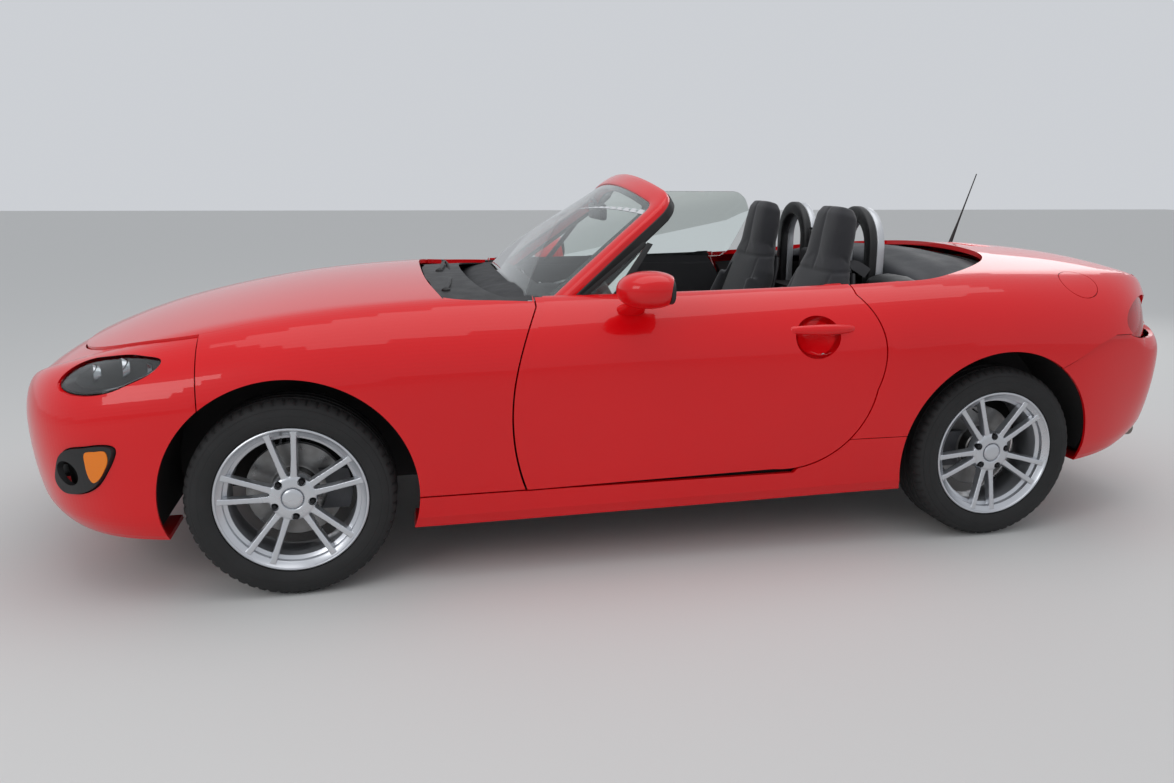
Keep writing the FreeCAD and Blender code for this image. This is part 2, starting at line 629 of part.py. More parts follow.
def bent_sheet(above, below):
    start = screen_base - SCREEN_OUT * SCREEN_R - SCREEN_ALONG * 500
    big = Part.makeCylinder(SCREEN_R + above, 2000, start, SCREEN_ALONG)
    return big.cut(Part.makeCylinder(SCREEN_R - below, 2000, start, SCREEN_ALONG))


def screen_prism(points, fillet):
    """Prism across the screen from half an outline of (distance up the slope, half-width)."""
    full = list(points) + [(s, -y) for s, y in reversed(points)]
    places = [screen_base + SCREEN_ALONG * s + V(0, y, 0) - SCREEN_OUT * 500 for s, y in full]
    prism = Part.Face(Part.makePolygon(places + [places[0]])).extrude(SCREEN_OUT * 700)
    upper = [e for e in prism.Edges
             if abs(e.tangentAt(e.FirstParameter).dot(SCREEN_OUT)) > 0.99
             and (e.valueAt(e.FirstParameter) - screen_base).dot(SCREEN_ALONG) > points[-1][0] - 60]
    return prism.makeFillet(fillet, upper)


tight_outline = tuple((s - (2 * SEAT_GAP if s == GLASS_TOP else 0), y - 2 * SEAT_GAP)
                      for s, y in GLASS_OUTLINE)
post_hole = box(-700, FAR, -FAR, -DOOR_INNER_Y + 6, 0, 862)
cowl_body = body_loft(COWL_DROP - SEAT_GAP)
screen_frame = bent_sheet(FRAME_OUT, FRAME_DEPTH).common(screen_prism(FRAME_OUTLINE, FRAME_FILLET))
screen_frame = screen_frame.cut(screen_prism(GLASS_OUTLINE, SCREEN_FILLET))
screen_frame = screen_frame.cut(Part.makeCompound([cowl_body] + both_sides(post_hole)))
foot = box(*SCREEN_FOOT_X, -DOOR_INNER_Y + 8, -CABIN_HALF, POST_TOP - 40, POST_TOP + 18)
foot = foot.cut(cowl_back)
glass_space = bent_sheet(SEAT_GAP - GLASS_DEPTH[0], SEAT_GAP + GLASS_DEPTH[1])
glass_space = glass_space.common(screen_prism(GLASS_OUTLINE, SCREEN_FILLET))
screen_frame = fuse([screen_frame] + both_sides(foot)).cut(glass_space)
nodes["windscreen_frame"] = screen_frame
glass = bent_sheet(-GLASS_DEPTH[0], GLASS_DEPTH[1]).common(screen_prism(tight_outline, SCREEN_FILLET))
nodes["windscreen_glass"] = glass.cut(cowl_body)
nodes["cowl_panel"] = cowl.cut(Part.makeCompound(both_sides(box(-475, 0, -FAR, -CABIN_HALF + 3, 0, FAR))))

# Structure behind the skin, in three lengths that meet at flat faces
houses = Part.makeCompound([
    cyl_y(x, AXLE_Z, ARCH_R + HOUSE_GAP, side * inner_y, side * FAR)
    for x, inner_y in ((FRONT_AXLE_X, HOUSE_INNER_Y), (REAR_AXLE_X, REAR_HOUSE_Y)) for side in (-1, 1)])
house_walls = Part.makeCompound([
    cyl_y(FRONT_AXLE_X, AXLE_Z, ARCH_R + HOUSE_GAP + HOUSE_WALL,
          side * (HOUSE_INNER_Y - HOUSE_WALL), side * FAR)
    for side in (-1, 1)])
slam_panel = box(NOSE_WALL_X, SLAM_X, -FAR, FAR, 600, SLAM_Z)
bay = plan_prism(grown_plan(BONNET_PLAN, SEAM + 2), 600, FAR)
bay = bay.cut(Part.makeCompound([house_walls, slam_panel]))
bay_low = box(NOSE_WALL_X + 40, FRONT_WALL_X - 25, -HOUSE_INNER_Y + HOUSE_WALL, HOUSE_INNER_Y - HOUSE_WALL,
              BAY_FLOOR_Z, FAR)
under_cowl = body_loft(COWL_DROP + COWL_THICKNESS + SEAT_GAP)
cowl_space = plan_prism(grown_plan(COWL_PLAN, 30), 600, FAR).fuse(box(-800, 0, -690, 690, 780, FAR))
cowl_space = cowl_space.cut(under_cowl)


def buffers(places):
    """Rubber buffers that end just under the skin that rests on them."""
    tall = [cyl_z(x, side * y, r, 590, FAR) for x, y, r in places for side in (-1, 1)]
    return Part.makeCompound([post.common(core) for post in tall])


front = core.common(box(NOSE_WALL_X, FRONT_WALL_X, -FAR, FAR, 0, FAR))
front = front.cut(Part.makeCompound([bay, bay_low.cut(slam_panel), houses, cowl_space]))
front = fuse([front] + buffers(BONNET_BUFFERS).Solids)
nodes["front_structure"] = front

door_space = [side_prism(door_outline(SEAM), side, DOOR_INNER_Y - 10) for side in (-1, 1)]
behind_hinge = box(HINGE_X + 5, FAR, -FAR, FAR, 0, FAR)
door_space += [side_prism(door_outline(SEAM), side, CABIN_HALF - 20).common(behind_hinge)
               for side in (-1, 1)]
swing_space = both_sides(cyl_z(HINGE_X, -HINGE_Y, 103, SILL_Z, FAR))
cabin = box(FRONT_WALL_X + 20, REAR_WALL_X - 15, -CABIN_HALF, CABIN_HALF, FLOOR_Z, FAR)
floor = core.common(box(FRONT_WALL_X, REAR_WALL_X, -FAR, FAR, 0, FAR))
floor = floor.cut(Part.makeCompound([cabin, cowl_space, box(-425, 640, -FAR, FAR, POST_TOP, FAR)]))
floor = floor.cut(Part.makeCompound(door_space)).cut(Part.makeCompound(swing_space))
floor = fuse([floor] + hinge_parts + [mirror_y(p) for p in hinge_parts])
nodes["floor_pan"] = floor

shelf_cut = box(REAR_WALL_X - 200, SHELF_REAR_X, -TOP_PLAN[1][1], TOP_PLAN[1][1], SHELF_Z, FAR)
well = plan_prism(TOP_PLAN, WELL_Z, FAR).common(box(SHELF_REAR_X - 1, FAR, -FAR, FAR, 0, FAR))
boot = box(BOOT_X0, BOOT_X1, -BOOT_HALF, BOOT_HALF, BOOT_FLOOR_Z, FAR)
boot_mouth = plan_prism(grown_plan(LID_PLAN, SEAM + 2), 640, FAR).cut(body_loft(GUTTER_DROP))
boot_lip = box(BOOT_X1 - 1, FAR, -BOOT_HALF, BOOT_HALF, LIP_Z, FAR)
under = box(MUFFLER_X0 - 130, FAR, -UNDER_HALF, UNDER_HALF, 0, MUFFLER_TOP + SEAT_GAP)
rear = core.common(box(REAR_WALL_X, TAIL_WALL_X, -FAR, FAR, 0, FAR))
rear = rear.cut(Part.makeCompound([shelf_cut, well, boot, boot_mouth, boot_lip, houses, under,
                                   fuel_tool(FUEL_R - 8)]))
nodes["rear_structure"] = fuse([rear] + buffers(LID_BUFFERS).Solids)
behind_doors = box(600, REAR_WALL_X, -CABIN_HALF - 80, CABIN_HALF + 80, SHELF_Z, FAR)
nodes["floor_pan"] = nodes["floor_pan"].cut(behind_doors)

# Running gear
def ring_profile(points, centre_y):
    wire = Part.makePolygon([V(0, centre_y + y, r) for r, y in points + points[:1]])
    return Part.Face(wire).revolve(V(0, centre_y, 0), V(0, 1, 0), 360)


def tyre(x, side):
    w = TYRE_WIDTH / 2
    bead = RIM_R + SEAT_GAP
    lip = RIM_FLANGE_R + 1.5
    seat = RIM_WIDTH / 2 - 12 - SEAT_GAP
    edges = []
    right = [(bead, seat), (lip, seat), (lip, seat + 10)]
    for (r0, y0), (r1, y1) in zip(right, right[1:]):
        edges.append(line((0, y0, r0), (0, y1, r1)))
        edges.append(line((0, -y0, r0), (0, -y1, r1)))
    for s in (-1, 1):
        edges.append(arc((0, s * (seat + 10), lip), (0, s * w, 258), (0, s * (w - 9), 284)))
        edges.append(arc((0, s * (w - 9), 284), (0, s * (w - 17), TYRE_R - 6), (0, s * (w - 34), TYRE_R)))
    edges.append(line((0, -(w - 34), TYRE_R), (0, w - 34, TYRE_R)))
    edges.append(line((0, -seat, bead), (0, seat, bead)))
    face = Part.Face(Part.Wire(Part.__sortEdges__(edges)))
    solid = face.revolve(V(0, 0, 0), V(0, 1, 0), 360)
    solid.translate(V(x, side * TRACK_HALF, AXLE_Z))
    return solid


def rim():
    """Wheel with its hub and brake disc, outboard side towards -Y, about the origin."""
    w = RIM_WIDTH / 2
    barrel = [(RIM_FLANGE_R, -w), (RIM_FLANGE_R, -w + 12), (RIM_R, -w + 12), (RIM_R - 14, -20),
              (RIM_R - 14, 30), (RIM_R, w - 12), (RIM_FLANGE_R, w - 12), (RIM_FLANGE_R, w),
              (RIM_R - RIM_WALL, w), (RIM_R - 24, 30), (RIM_R - 24, -20), (RIM_R - RIM_WALL, -w + 4)]
    barrel = ring_profile(barrel, 0)
    face_y = -SPOKE_FACE
    hub = ring_profile([(27, face_y + 6), (62, face_y + 2), (HUB_R, face_y + 14), (HUB_R, -22),
                        (SPINDLE_R + 12, -22), (SPINDLE_R + 12, -24), (27, -24)], 0)
    spokes = []
    for pair in range(5):
        for lean in (-1, 1):
            root = [V(lean * 17 - 10, face_y + 8, 56), V(lean * 17 + 10, face_y + 8, 56),
                    V(lean * 17 + 11, face_y + 44, 56), V(lean * 17 - 11, face_y + 44, 56)]
            tip = [V(lean * 38 - 8, -w + 8, RIM_R - 9), V(lean * 38 + 8, -w + 8, RIM_R - 9),
                   V(lean * 38 + 9, -w + 34, RIM_R - 11), V(lean * 38 - 9, -w + 34, RIM_R - 11)]
            spoke = Part.makeLoft([Part.makePolygon(p + [p[0]]) for p in (root, tip)], True, True)
            spoke.rotate(V(0, 0, 0), V(0, 1, 0), 72 * pair)
            spokes.append(spoke)
    disc_back = DISC_FACE + DISC_THICKNESS
    hat = ring_profile([(SPINDLE_R + SEAT_GAP, -24), (HUB_R, -24), (HUB_R, DISC_FACE), (DISC_R, DISC_FACE),
                        (DISC_R, disc_back), (SPINDLE_R + SEAT_GAP, disc_back)], 0)
    wheel = barrel.multiFuse([hub, hat] + spokes)
    holes = []
    for i in range(5):
        hole = Part.makeCylinder(LUG_HOLE_R, 40, V(0, face_y - 5, LUG_PCD / 2), V(0, 1, 0))
        hole.rotate(V(0, 0, 0), V(0, 1, 0), 72 * i + 36)
        holes.append(hole)
    return wheel.cut(Part.makeCompound(holes)).removeSplitter()


wheel_shape = rim()
for tag, x, side in WHEELS:
    wheel = wheel_shape.copy() if side < 0 else mirror_y(wheel_shape)
    wheel.translate(V(x, side * TRACK_HALF, AXLE_Z))
    nodes["wheel_" + tag] = wheel
    nodes["tyre_" + tag] = tyre(x, side)

disc_out = TRACK_HALF - DISC_FACE
disc_in = disc_out - DISC_THICKNESS


def caliper(x, toward):
    """Caliper over the disc; toward is +1 for the rear side of the axle and -1 for its front side."""
    ring = cyl_y(x, AXLE_Z, CALIPER_R, -disc_out - CALIPER_OUT, -disc_in + CALIPER_IN)
    ring = ring.cut(cyl_y(x, AXLE_Z, CALIPER_HOLE_R, -FAR, 0))
    slot = cyl_y(x, AXLE_Z, DISC_R + 5, -disc_out - 4, -disc_in + 4)
    near, far = sorted((x, x + toward * 200))
    wedge = box(near, far, -FAR, 0, AXLE_Z - CALIPER_HALF, AXLE_Z + CALIPER_HALF)
    return ring.cut(slot).common(wedge)


for tag, side in (("fl", -1), ("fr", 1)):
    x = FRONT_AXLE_X
    upright = box(x - UPRIGHT_HALF, x + UPRIGHT_HALF, -STEER_Y - 24, -STEER_Y + 20,
                  LOWER_ARM_Z + ARM_THICKNESS + 1, UPPER_ARM_Z - 1)
    pin = cyl_z(x, -STEER_Y, KINGPIN_R, LOWER_ARM_Z - 6, UPPER_ARM_Z + ARM_THICKNESS + 6)
    spindle = cyl_y(x, AXLE_Z, SPINDLE_R, -STEER_Y, -TRACK_HALF + 16)
    bridge = box(x + 20, x + 140, -STEER_Y - 20, -STEER_Y + 8, AXLE_Z - BRIDGE_HALF, AXLE_Z + BRIDGE_HALF)
    knuckle = fuse([upright, pin, spindle, bridge, caliper(x, 1)])
    nodes["knuckle_" + tag] = knuckle if side < 0 else mirror_y(knuckle)


def wishbone(x, inner_y, outer_y, z, spread):
    points = [(x - spread, inner_y), (x - 26, outer_y - 30), (x - 20, outer_y + 20), (x + 20, outer_y + 20),
              (x + 26, outer_y - 30), (x + spread, inner_y)]
    wire = Part.makePolygon([V(px, -py, z) for px, py in points + [points[0]]])
    arm = Part.Face(wire).extrude(V(0, 0, ARM_THICKNESS))
    hole = Part.makePolygon([V(px, -py, z) for px, py in (
        (x - spread + 40, inner_y + 20), (x, outer_y - 90), (x + spread - 40, inner_y + 20),
        (x - spread + 40, inner_y + 20))])
    return arm.cut(Part.Face(hole).extrude(V(0, 0, ARM_THICKNESS)))


front_arms = []
for z, inner_y in ((LOWER_ARM_Z, WISHBONE_INNER_Y), (UPPER_ARM_Z, HOUSE_INNER_Y + SEAT_GAP)):
    arm = wishbone(FRONT_AXLE_X, inner_y, STEER_Y, z, WISHBONE_SPREAD)
    arm = arm.cut(cyl_z(FRONT_AXLE_X, -STEER_Y, KINGPIN_R + SEAT_GAP, 0, FAR))
    front_arms += both_sides(arm)
cross = box(FRONT_AXLE_X - CROSS_HALF_LENGTH, FRONT_AXLE_X + CROSS_HALF_LENGTH,
            -FRONT_CROSS_HALF, FRONT_CROSS_HALF, LOWER_ARM_Z, CORE_FLOOR_Z - SEAT_GAP)
nodes["front_suspension"] = Part.makeCompound([fuse([cross] + front_arms[:2])] + front_arms[2:])

cross = box(REAR_AXLE_X - CROSS_HALF_LENGTH, REAR_AXLE_X + CROSS_HALF_LENGTH,
            -REAR_CROSS_HALF, REAR_CROSS_HALF, LOWER_ARM_Z, REAR_CROSS_TOP)
rear_parts = [cross.cut(inner)]
x = REAR_AXLE_X
for side in (-1, 1):
    upright = box(x - UPRIGHT_HALF, x + UPRIGHT_HALF, -685, -640, LOWER_ARM_Z, 430)
    spindle = cyl_y(x, AXLE_Z, SPINDLE_R, -660, -TRACK_HALF + 16)
    shaft = cyl_y(x, AXLE_Z, SHAFT_R, -REAR_HOUSE_Y - SEAT_GAP, -660)
    bridge = box(x - 140, x - 20, -685, -657, AXLE_Z - BRIDGE_HALF, AXLE_Z + BRIDGE_HALF)
    arm = box(x - 60, x + 60, -660, -390, LOWER_ARM_Z, LOWER_ARM_Z + ARM_THICKNESS)
    corner = fuse([upright, spindle, shaft, bridge, arm, caliper(x, -1)])
    rear_parts.append(corner if side < 0 else mirror_y(corner))
pipe = rod((-1000, 0, PIPE_Z), (MUFFLER_X0 + 20, 0, PIPE_Z), PIPE_R)
nodes["rear_suspension"] = fuse(rear_parts).cut(rod((-1000, 0, PIPE_Z), (FAR, 0, PIPE_Z), PIPE_R + 8))

muffler = rounded_box(MUFFLER_X0, MUFFLER_X1, -TIP_Y - 60, TIP_Y + 60, MUFFLER_TOP - 130, MUFFLER_TOP, 40)
tips = [Part.makeCylinder(TIP_R, 1990 - MUFFLER_X1 + 20, V(MUFFLER_X1 - 20, y, TIP_Z), V(1, 0, 0)).cut(
    Part.makeCylinder(TIP_R - 4, 80, V(1920, y, TIP_Z), V(1, 0, 0))) for y in (-TIP_Y, TIP_Y)]
bend = rod((MUFFLER_X0 - 120, 0, PIPE_Z), (MUFFLER_X0 + 40, 0, MUFFLER_TOP - 65), PIPE_R)
nodes["exhaust"] = fuse([muffler, pipe, bend] + tips)

nodes["engine_block"] = fuse([
    box(*ENGINE_LOWER, BAY_FLOOR_Z + SEAT_GAP, ENGINE_JOINT_Z),
    box(*ENGINE_UPPER, ENGINE_JOINT_Z - 10, ENGINE_TOP)])

# Cabin
def cross_prism(profile, half_width):
    """Solid from a side profile of x and z, across the middle of the car."""
    corners = [V(px, -half_width, pz) for px, pz in profile]
    return Part.Face(Part.makePolygon(corners + corners[:1])).extrude(V(0, 2 * half_width, 0))


dash = cross_prism(DASH_PROFILE, CABIN_HALF - SEAT_GAP)
wheel_axis = V(math.cos(COLUMN_TILT), 0, math.sin(COLUMN_TILT))
wheel_centre = V(*STEERING_WHEEL)


def along_column(distance):
    return wheel_centre + wheel_axis * distance


shroud = Part.makeCylinder(SHROUD_R, 160, along_column(-220), wheel_axis)
bore = Part.makeCylinder(STEM_R + SEAT_GAP, 90, along_column(-130), wheel_axis)
dash = dash.common(under_cowl)
nodes["dashboard"] = fuse([dash, shroud]).cut(bore)
ring = Part.makeTorus(STEERING_R, WHEEL_GRIP_R, wheel_centre, wheel_axis)
hub = Part.makeCylinder(WHEEL_HUB_R, 34, along_column(-34), wheel_axis)
stem = Part.makeCylinder(STEM_R, 90, along_column(-110), wheel_axis)
across = V(0, 1, 0)
upward = wheel_axis.cross(across) * -1
arms = []
for angle in (0, 180, 270):
    direction = across * math.cos(math.radians(angle)) + upward * math.sin(math.radians(angle))
    arms.append(Part.makeCylinder(WHEEL_SPOKE_R, STEERING_R, along_column(-14), direction))
nodes["steering_wheel"] = fuse([ring, hub, stem] + arms)

console = cross_prism(CONSOLE_PROFILE, CONSOLE_HALF).cut(dash)
knob = Part.makeSphere(KNOB[1], V(*KNOB[0]))
nodes["centre_console"] = fuse([console, rod(*LEVER), knob])

outline = [V(-100, y, z) for y, z in SEAT_FRONT] + [V(-100, -y, z) for y, z in reversed(SEAT_FRONT)]
front_view = Part.Face(Part.makePolygon(outline + outline[:1])).extrude(V(1000, 0, 0))
seat = cross_prism(SEAT_SIDE, SEAT_HALF).common(front_view)
rails = [box(*RAIL_X, y - 20, y + 20, FLOOR_Z + SEAT_GAP, RAIL_TOP) for y in (-RAIL_Y, RAIL_Y)]
seat = fuse([seat] + rails)
for name, side in SIDES:
    placed = seat.copy()
    placed.translate(V(0, side * SEAT_Y, 0))
    nodes["seat_" + name] = placed


def hoop(y):
    def outline(half_width, top, grow):
        low, high = SHELF_Z + SEAT_GAP + grow, top - half_width
        face_x = HOOP_X
        return Part.Face(Part.Wire([
            line((face_x, y - half_width, low), (face_x, y - half_width, high)),
            arc((face_x, y - half_width, high), (face_x, y, top), (face_x, y + half_width, high)),
            line((face_x, y + half_width, high), (face_x, y + half_width, low)),
            line((face_x, y + half_width, low), (face_x, y - half_width, low))]))
    solid = outline(HOOP_HALF, HOOP_TOP, 0).extrude(V(HOOP_DEPTH, 0, 0))
    return solid.cut(outline(HOOP_HALF - HOOP_TUBE, HOOP_TOP - HOOP_TUBE, 60).extrude(V(HOOP_DEPTH, 0, 0)))


nodes["roll_hoops"] = Part.makeCompound([hoop(-HOOP_Y), hoop(HOOP_Y)])
gap_y = HOOP_Y - HOOP_HALF - SEAT_GAP
middle = rounded_box(HOOP_X - 20, HOOP_X + 60, -gap_y, gap_y, SHELF_Z + SEAT_GAP, 950, 12)
pane = box(HOOP_X + 20, HOOP_X + 26, -gap_y, gap_y, 940, 1030)
cover = rounded_box(800, SHELF_REAR_X - 6, -TOP_PLAN[1][1] + 8, -HOOP_Y - HOOP_HALF - 40,
                    SHELF_Z + SEAT_GAP, 900, 24)
nodes["rear_trim"] = Part.makeCompound([fuse([middle, pane])] + both_sides(cover))

# Folded top: crowned over the well
sections = []
for x, half_width, edge_z, top_z in TOP_SECTIONS:
    base = WELL_Z + SEAT_GAP
    sections.append(Part.Wire([
        line((x, -half_width, base), (x, -half_width, edge_z)),
        arc((x, -half_width, edge_z), (x, 0, top_z), (x, half_width, edge_z)),
        line((x, half_width, edge_z), (x, half_width, base)),
        line((x, half_width, base), (x, -half_width, base))]))
nodes["soft_top"] = Part.makeLoft(sections, True, True)

# Door mirrors and door glass
head = Part.makeSphere(1.0)
stretch = FreeCAD.Matrix()
stretch.scale(V(*MIRROR_RADII))
head = head.transformGeometry(stretch)
head.translate(V(*MIRROR))
head = head.cut(box(MIRROR[0] + MIRROR_FACE, FAR, -FAR, FAR, 0, FAR))
feet = []
for corners, z in zip((MIRROR_FOOT_LOW, MIRROR_FOOT_HIGH), MIRROR_FOOT_Z):
    feet.append(Part.makePolygon([V(x, y, z) for x, y in corners + corners[:1]]))
stalk = Part.makeLoft(feet, True, True).cut(over_body)
mirror_solid = fuse([head, stalk])
nodes["mirror_left"] = mirror_solid
nodes["mirror_right"] = mirror_y(mirror_solid)


def pane_solid(points, fillet_at, radius):
    """Flat pane from a side outline, leaning inwards from the belt."""
    corners = [V(x, 0, z - BELT_Z) for x, z in points]
    face = Part.Face(Part.makePolygon(corners + corners[:1]))
    solid = face.extrude(V(0, PANE_THICKNESS, 0))
    if radius:
        edges = [e for e in solid.Edges if abs(e.tangentAt(e.FirstParameter).y) > 0.99
                 and abs(e.Vertexes[0].X - fillet_at[0]) < 1
                 and abs(e.Vertexes[0].Z - fillet_at[1] + BELT_Z) < 1]
        solid = solid.makeFillet(radius, edges)
    solid.rotate(V(0, 0, 0), V(1, 0, 0), -PANE_LEAN)
    solid.translate(V(0, -BELT_Y, BELT_Z))
    return solid.cut(over_body)


quarter_pane = pane_solid(QUARTER_PANE, None, 0)
post = pane_solid(QUARTER_POST, None, 0)
nodes["door_glass_left"] = fuse([quarter_pane, post])
raised = pane_solid(RAISED_PANE, RAISED_CORNER, RAISED_FILLET)
nodes["door_glass_right"] = fuse([mirror_y(quarter_pane), mirror_y(post), mirror_y(raised)])

# Small pieces on the tail
nodes["brake_lamp"] = rounded_box(*POD).cut(over_body)
mast_base = V(*ANTENNA_BASE)
mast = Part.makeCone(14, 8, 40, mast_base, V(0.3, 0, 1)).fuse(
    Part.makeCylinder(MAST_R, MAST_LENGTH, mast_base, V(0.32, 0, 0.95)))
nodes["antenna"] = mast.cut(over_body)

for name, shape in nodes.items():
    print(name, shape.isValid(), len(shape.Solids), round(shape.Volume / 1e6, 3))

os.makedirs("parts", exist_ok=True)
for name, shape in nodes.items():
    shape.exportStep("parts/" + name + ".step")
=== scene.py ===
import math

import bmesh
import bpy
import numpy as np
from mathutils import Matrix, Vector
from mathutils.bvhtree import BVHTree


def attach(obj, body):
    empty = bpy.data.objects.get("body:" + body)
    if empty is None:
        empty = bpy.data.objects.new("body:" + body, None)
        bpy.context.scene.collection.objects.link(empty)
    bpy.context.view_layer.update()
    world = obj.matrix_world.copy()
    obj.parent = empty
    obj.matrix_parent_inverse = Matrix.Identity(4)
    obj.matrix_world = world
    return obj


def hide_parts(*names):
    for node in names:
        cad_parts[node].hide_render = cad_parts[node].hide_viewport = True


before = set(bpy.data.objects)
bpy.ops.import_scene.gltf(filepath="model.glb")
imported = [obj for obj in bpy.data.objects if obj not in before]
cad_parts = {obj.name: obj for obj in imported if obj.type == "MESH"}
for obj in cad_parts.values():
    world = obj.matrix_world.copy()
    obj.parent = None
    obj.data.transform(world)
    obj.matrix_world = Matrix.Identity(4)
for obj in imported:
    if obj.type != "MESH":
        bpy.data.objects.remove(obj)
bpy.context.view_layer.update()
bpy.ops.object.select_all(action="DESELECT")

# Body surface: the outer face that all the painted panels are pressed to, in one flowing form.
# It follows the sections of the car from nose to tail, with softened shoulder lines, a crowned
# nose and tail, and a raised flare round each wheel arch.
# Columns: x, crown height, shoulder y and z, widest y and z, lower side y and z, bottom edge y and z.
FRONT_SECTIONS = [
    (-2000, 545, 165, 538, 262, 475, 225, 385, 170, 345),
    (-1978, 592, 262, 580, 385, 488, 335, 315, 280, 275),
    (-1925, 642, 385, 620, 558, 505, 492, 275, 430, 238),
    (-1830, 693, 512, 663, 710, 524, 655, 255, 598, 214),
    (-1660, 756, 620, 720, 812, 550, 780, 248, 745, 203),
    (-1420, 814, 680, 776, 846, 585, 820, 250, 800, 200),
    (-1175, 856, 690, 816, 853, 620, 829, 268, 808, 200),
    (-760, 889, 700, 848, 846, 645, 827, 285, 812, 200),
    (-300, 905, 722, 853, 844, 662, 824, 287, 812, 203),
    (250, 915, 728, 860, 846, 672, 825, 290, 812, 207),
    (700, 935, 722, 876, 852, 680, 830, 300, 816, 212),
    (1155, 953, 695, 900, 860, 678, 836, 318, 818, 222),
    (1480, 948, 682, 897, 846, 660, 816, 310, 790, 248),
    (1700, 934, 655, 892, 794, 650, 765, 318, 742, 278),
]
BODY_TAIL = [
    (1800, 921, 618, 880, 722, 640, 700, 338, 678, 306),
    (1865, 904, 568, 862, 648, 634, 622, 354, 602, 324),
    (1910, 884, 488, 842, 566, 630, 546, 372, 526, 342),
    (1932, 850, 395, 815, 470, 628, 452, 390, 436, 362),
    (1940, 800, 310, 775, 385, 626, 368, 416, 354, 388),
]
BUMPER_TAIL = [
    (1860, 860, 590, 790, 724, 612, 676, 345, 636, 312),
    (1915, 800, 520, 745, 658, 610, 606, 358, 566, 325),
    (1950, 778, 462, 726, 602, 610, 548, 370, 508, 335),
    (1982, 764, 380, 720, 515, 612, 462, 388, 420, 350),
    (2004, 752, 270, 715, 390, 612, 350, 420, 310, 380),
    (2012, 745, 180, 712, 280, 612, 250, 452, 215, 415),
]
# The bumper's tail ends upwards in a shelf below the lamps: x, crown height, shoulder y and z
SHELF = np.array([
    (1700, 934, 655, 892), (1765, 699, 750, 693), (1800, 699, 722, 693), (1860, 699, 668, 693),
    (1915, 699, 598, 692), (1950, 699, 540, 691), (1982, 699, 448, 690), (2004, 699, 322, 689),
    (2012, 699, 218, 688),
], float) / 1000
AXLE_Z = 0.302
FRONT_AXLE = -1.175
REAR_AXLE = 1.155
# Axle, radius of the flare's crease, angles between which it stands out
FLARES = ((FRONT_AXLE, 0.455, 30, 128), (REAR_AXLE, 0.474, 35, 140))
FLARE_RISE = 0.011
DOME = 0.008
SIDE_COUNT = 116
UNDER_COUNT = 14


def spline(places, rows, wanted):
    """Values on natural cubic curves through the rows."""
    count = len(places)
    step = np.diff(places)
    system = np.zeros((count, count))
    right = np.zeros((count, rows.shape[1]))
    system[0, 0] = system[-1, -1] = 1
    for i in range(1, count - 1):
        system[i, i - 1:i + 2] = step[i - 1], 2 * (step[i - 1] + step[i]), step[i]
        right[i] = 6 * ((rows[i + 1] - rows[i]) / step[i] - (rows[i] - rows[i - 1]) / step[i - 1])
    bend = np.linalg.solve(system, right)
    k = np.clip(np.searchsorted(places, wanted) - 1, 0, count - 2)
    h = step[k][:, None]
    before = (places[k + 1] - wanted)[:, None]
    after = (wanted - places[k])[:, None]
    return ((bend[k] * before ** 3 + bend[k + 1] * after ** 3) / (6 * h)
            + (rows[k] / h - bend[k] * h / 6) * before + (rows[k + 1] / h - bend[k + 1] * h / 6) * after)


def evenly(points, count):
    """Points at even distances along a run of points."""
    lengths = np.concatenate([[0], np.cumsum(np.linalg.norm(np.diff(points, axis=0), axis=1))])
    at = np.linspace(0, lengths[-1], count)
    return np.stack([np.interp(at, lengths, points[:, i]) for i in range(points.shape[1])], 1)


def tangent_arc(wide, end, count):
    """Arc in a section from its widest point, where it stands upright, to another point."""
    inward, rise = wide[0] - end[0], end[1] - wide[1]
    radius = (inward ** 2 + rise ** 2) / (2 * inward)
    turn = np.linspace(0, math.atan2(rise, end[0] - wide[0] + radius), count)
    return np.stack([wide[0] - radius + radius * np.cos(turn), wide[1] + radius * np.sin(turn)], 1)


def half_section(row):
    """Half a section from the middle of the crown, round the side, to the middle of the floor."""
    x, crown, top_y, top_z, wide_y, wide_z, low_y, low_z, floor_y, floor_z = row
    rise = crown - top_z
    radius = (rise ** 2 + top_y ** 2) / (2 * rise)
    turn = np.linspace(0, math.atan2(top_y, radius - rise), 90)
    over = np.stack([radius * np.sin(turn), crown - radius + radius * np.cos(turn)], 1)
    shoulder = tangent_arc((wide_y, wide_z), (top_y, top_z), 70)[::-1]
    side = tangent_arc((wide_y, wide_z), (low_y, low_z), 90)
    points = evenly(np.concatenate([over, shoulder[1:], side[1:]]), SIDE_COUNT)
    under = np.concatenate([np.linspace((low_y, low_z), (floor_y, floor_z), 5)[1:],
                            np.linspace((floor_y, floor_z), (0, floor_z), UNDER_COUNT - 3)[1:]])
    points = np.concatenate([points, under])
    for _ in range(7):
        soft = points.copy()
        soft[1:-1] = (points[:-2] + 2 * points[1:-1] + points[2:]) / 4
        soft[0, 1] = (points[0, 1] + points[1, 1]) / 2
        soft[SIDE_COUNT + 2:] = points[SIDE_COUNT + 2:]
        points = soft
    return np.column_stack([np.full(len(points), x), points])


def grid_normals(grid):
    along = np.gradient(grid, axis=0)
    across = np.gradient(grid, axis=1)
    normals = np.cross(across, along)
    return normals / np.maximum(np.linalg.norm(normals, axis=2, keepdims=True), 1e-12)


def smooth_step(value, low, high):
    t = np.clip((value - low) / (high - low), 0, 1)
    return t * t * (3 - 2 * t)


def dome(last, sign):
    """Rows that close the nose or the tail with a low crown."""
    centre = (last[0] + last[-1]) / 2
    out = []
    for scale in (0.93, 0.84, 0.72, 0.56, 0.38, 0.2, 0.03):
        row = centre + (last - centre) * scale
        row[:, 0] = last[:, 0] + sign * DOME * (1 - scale ** 2)
        out.append(row)
    return np.array(out)


mirror = np.array([1, -1, 1])


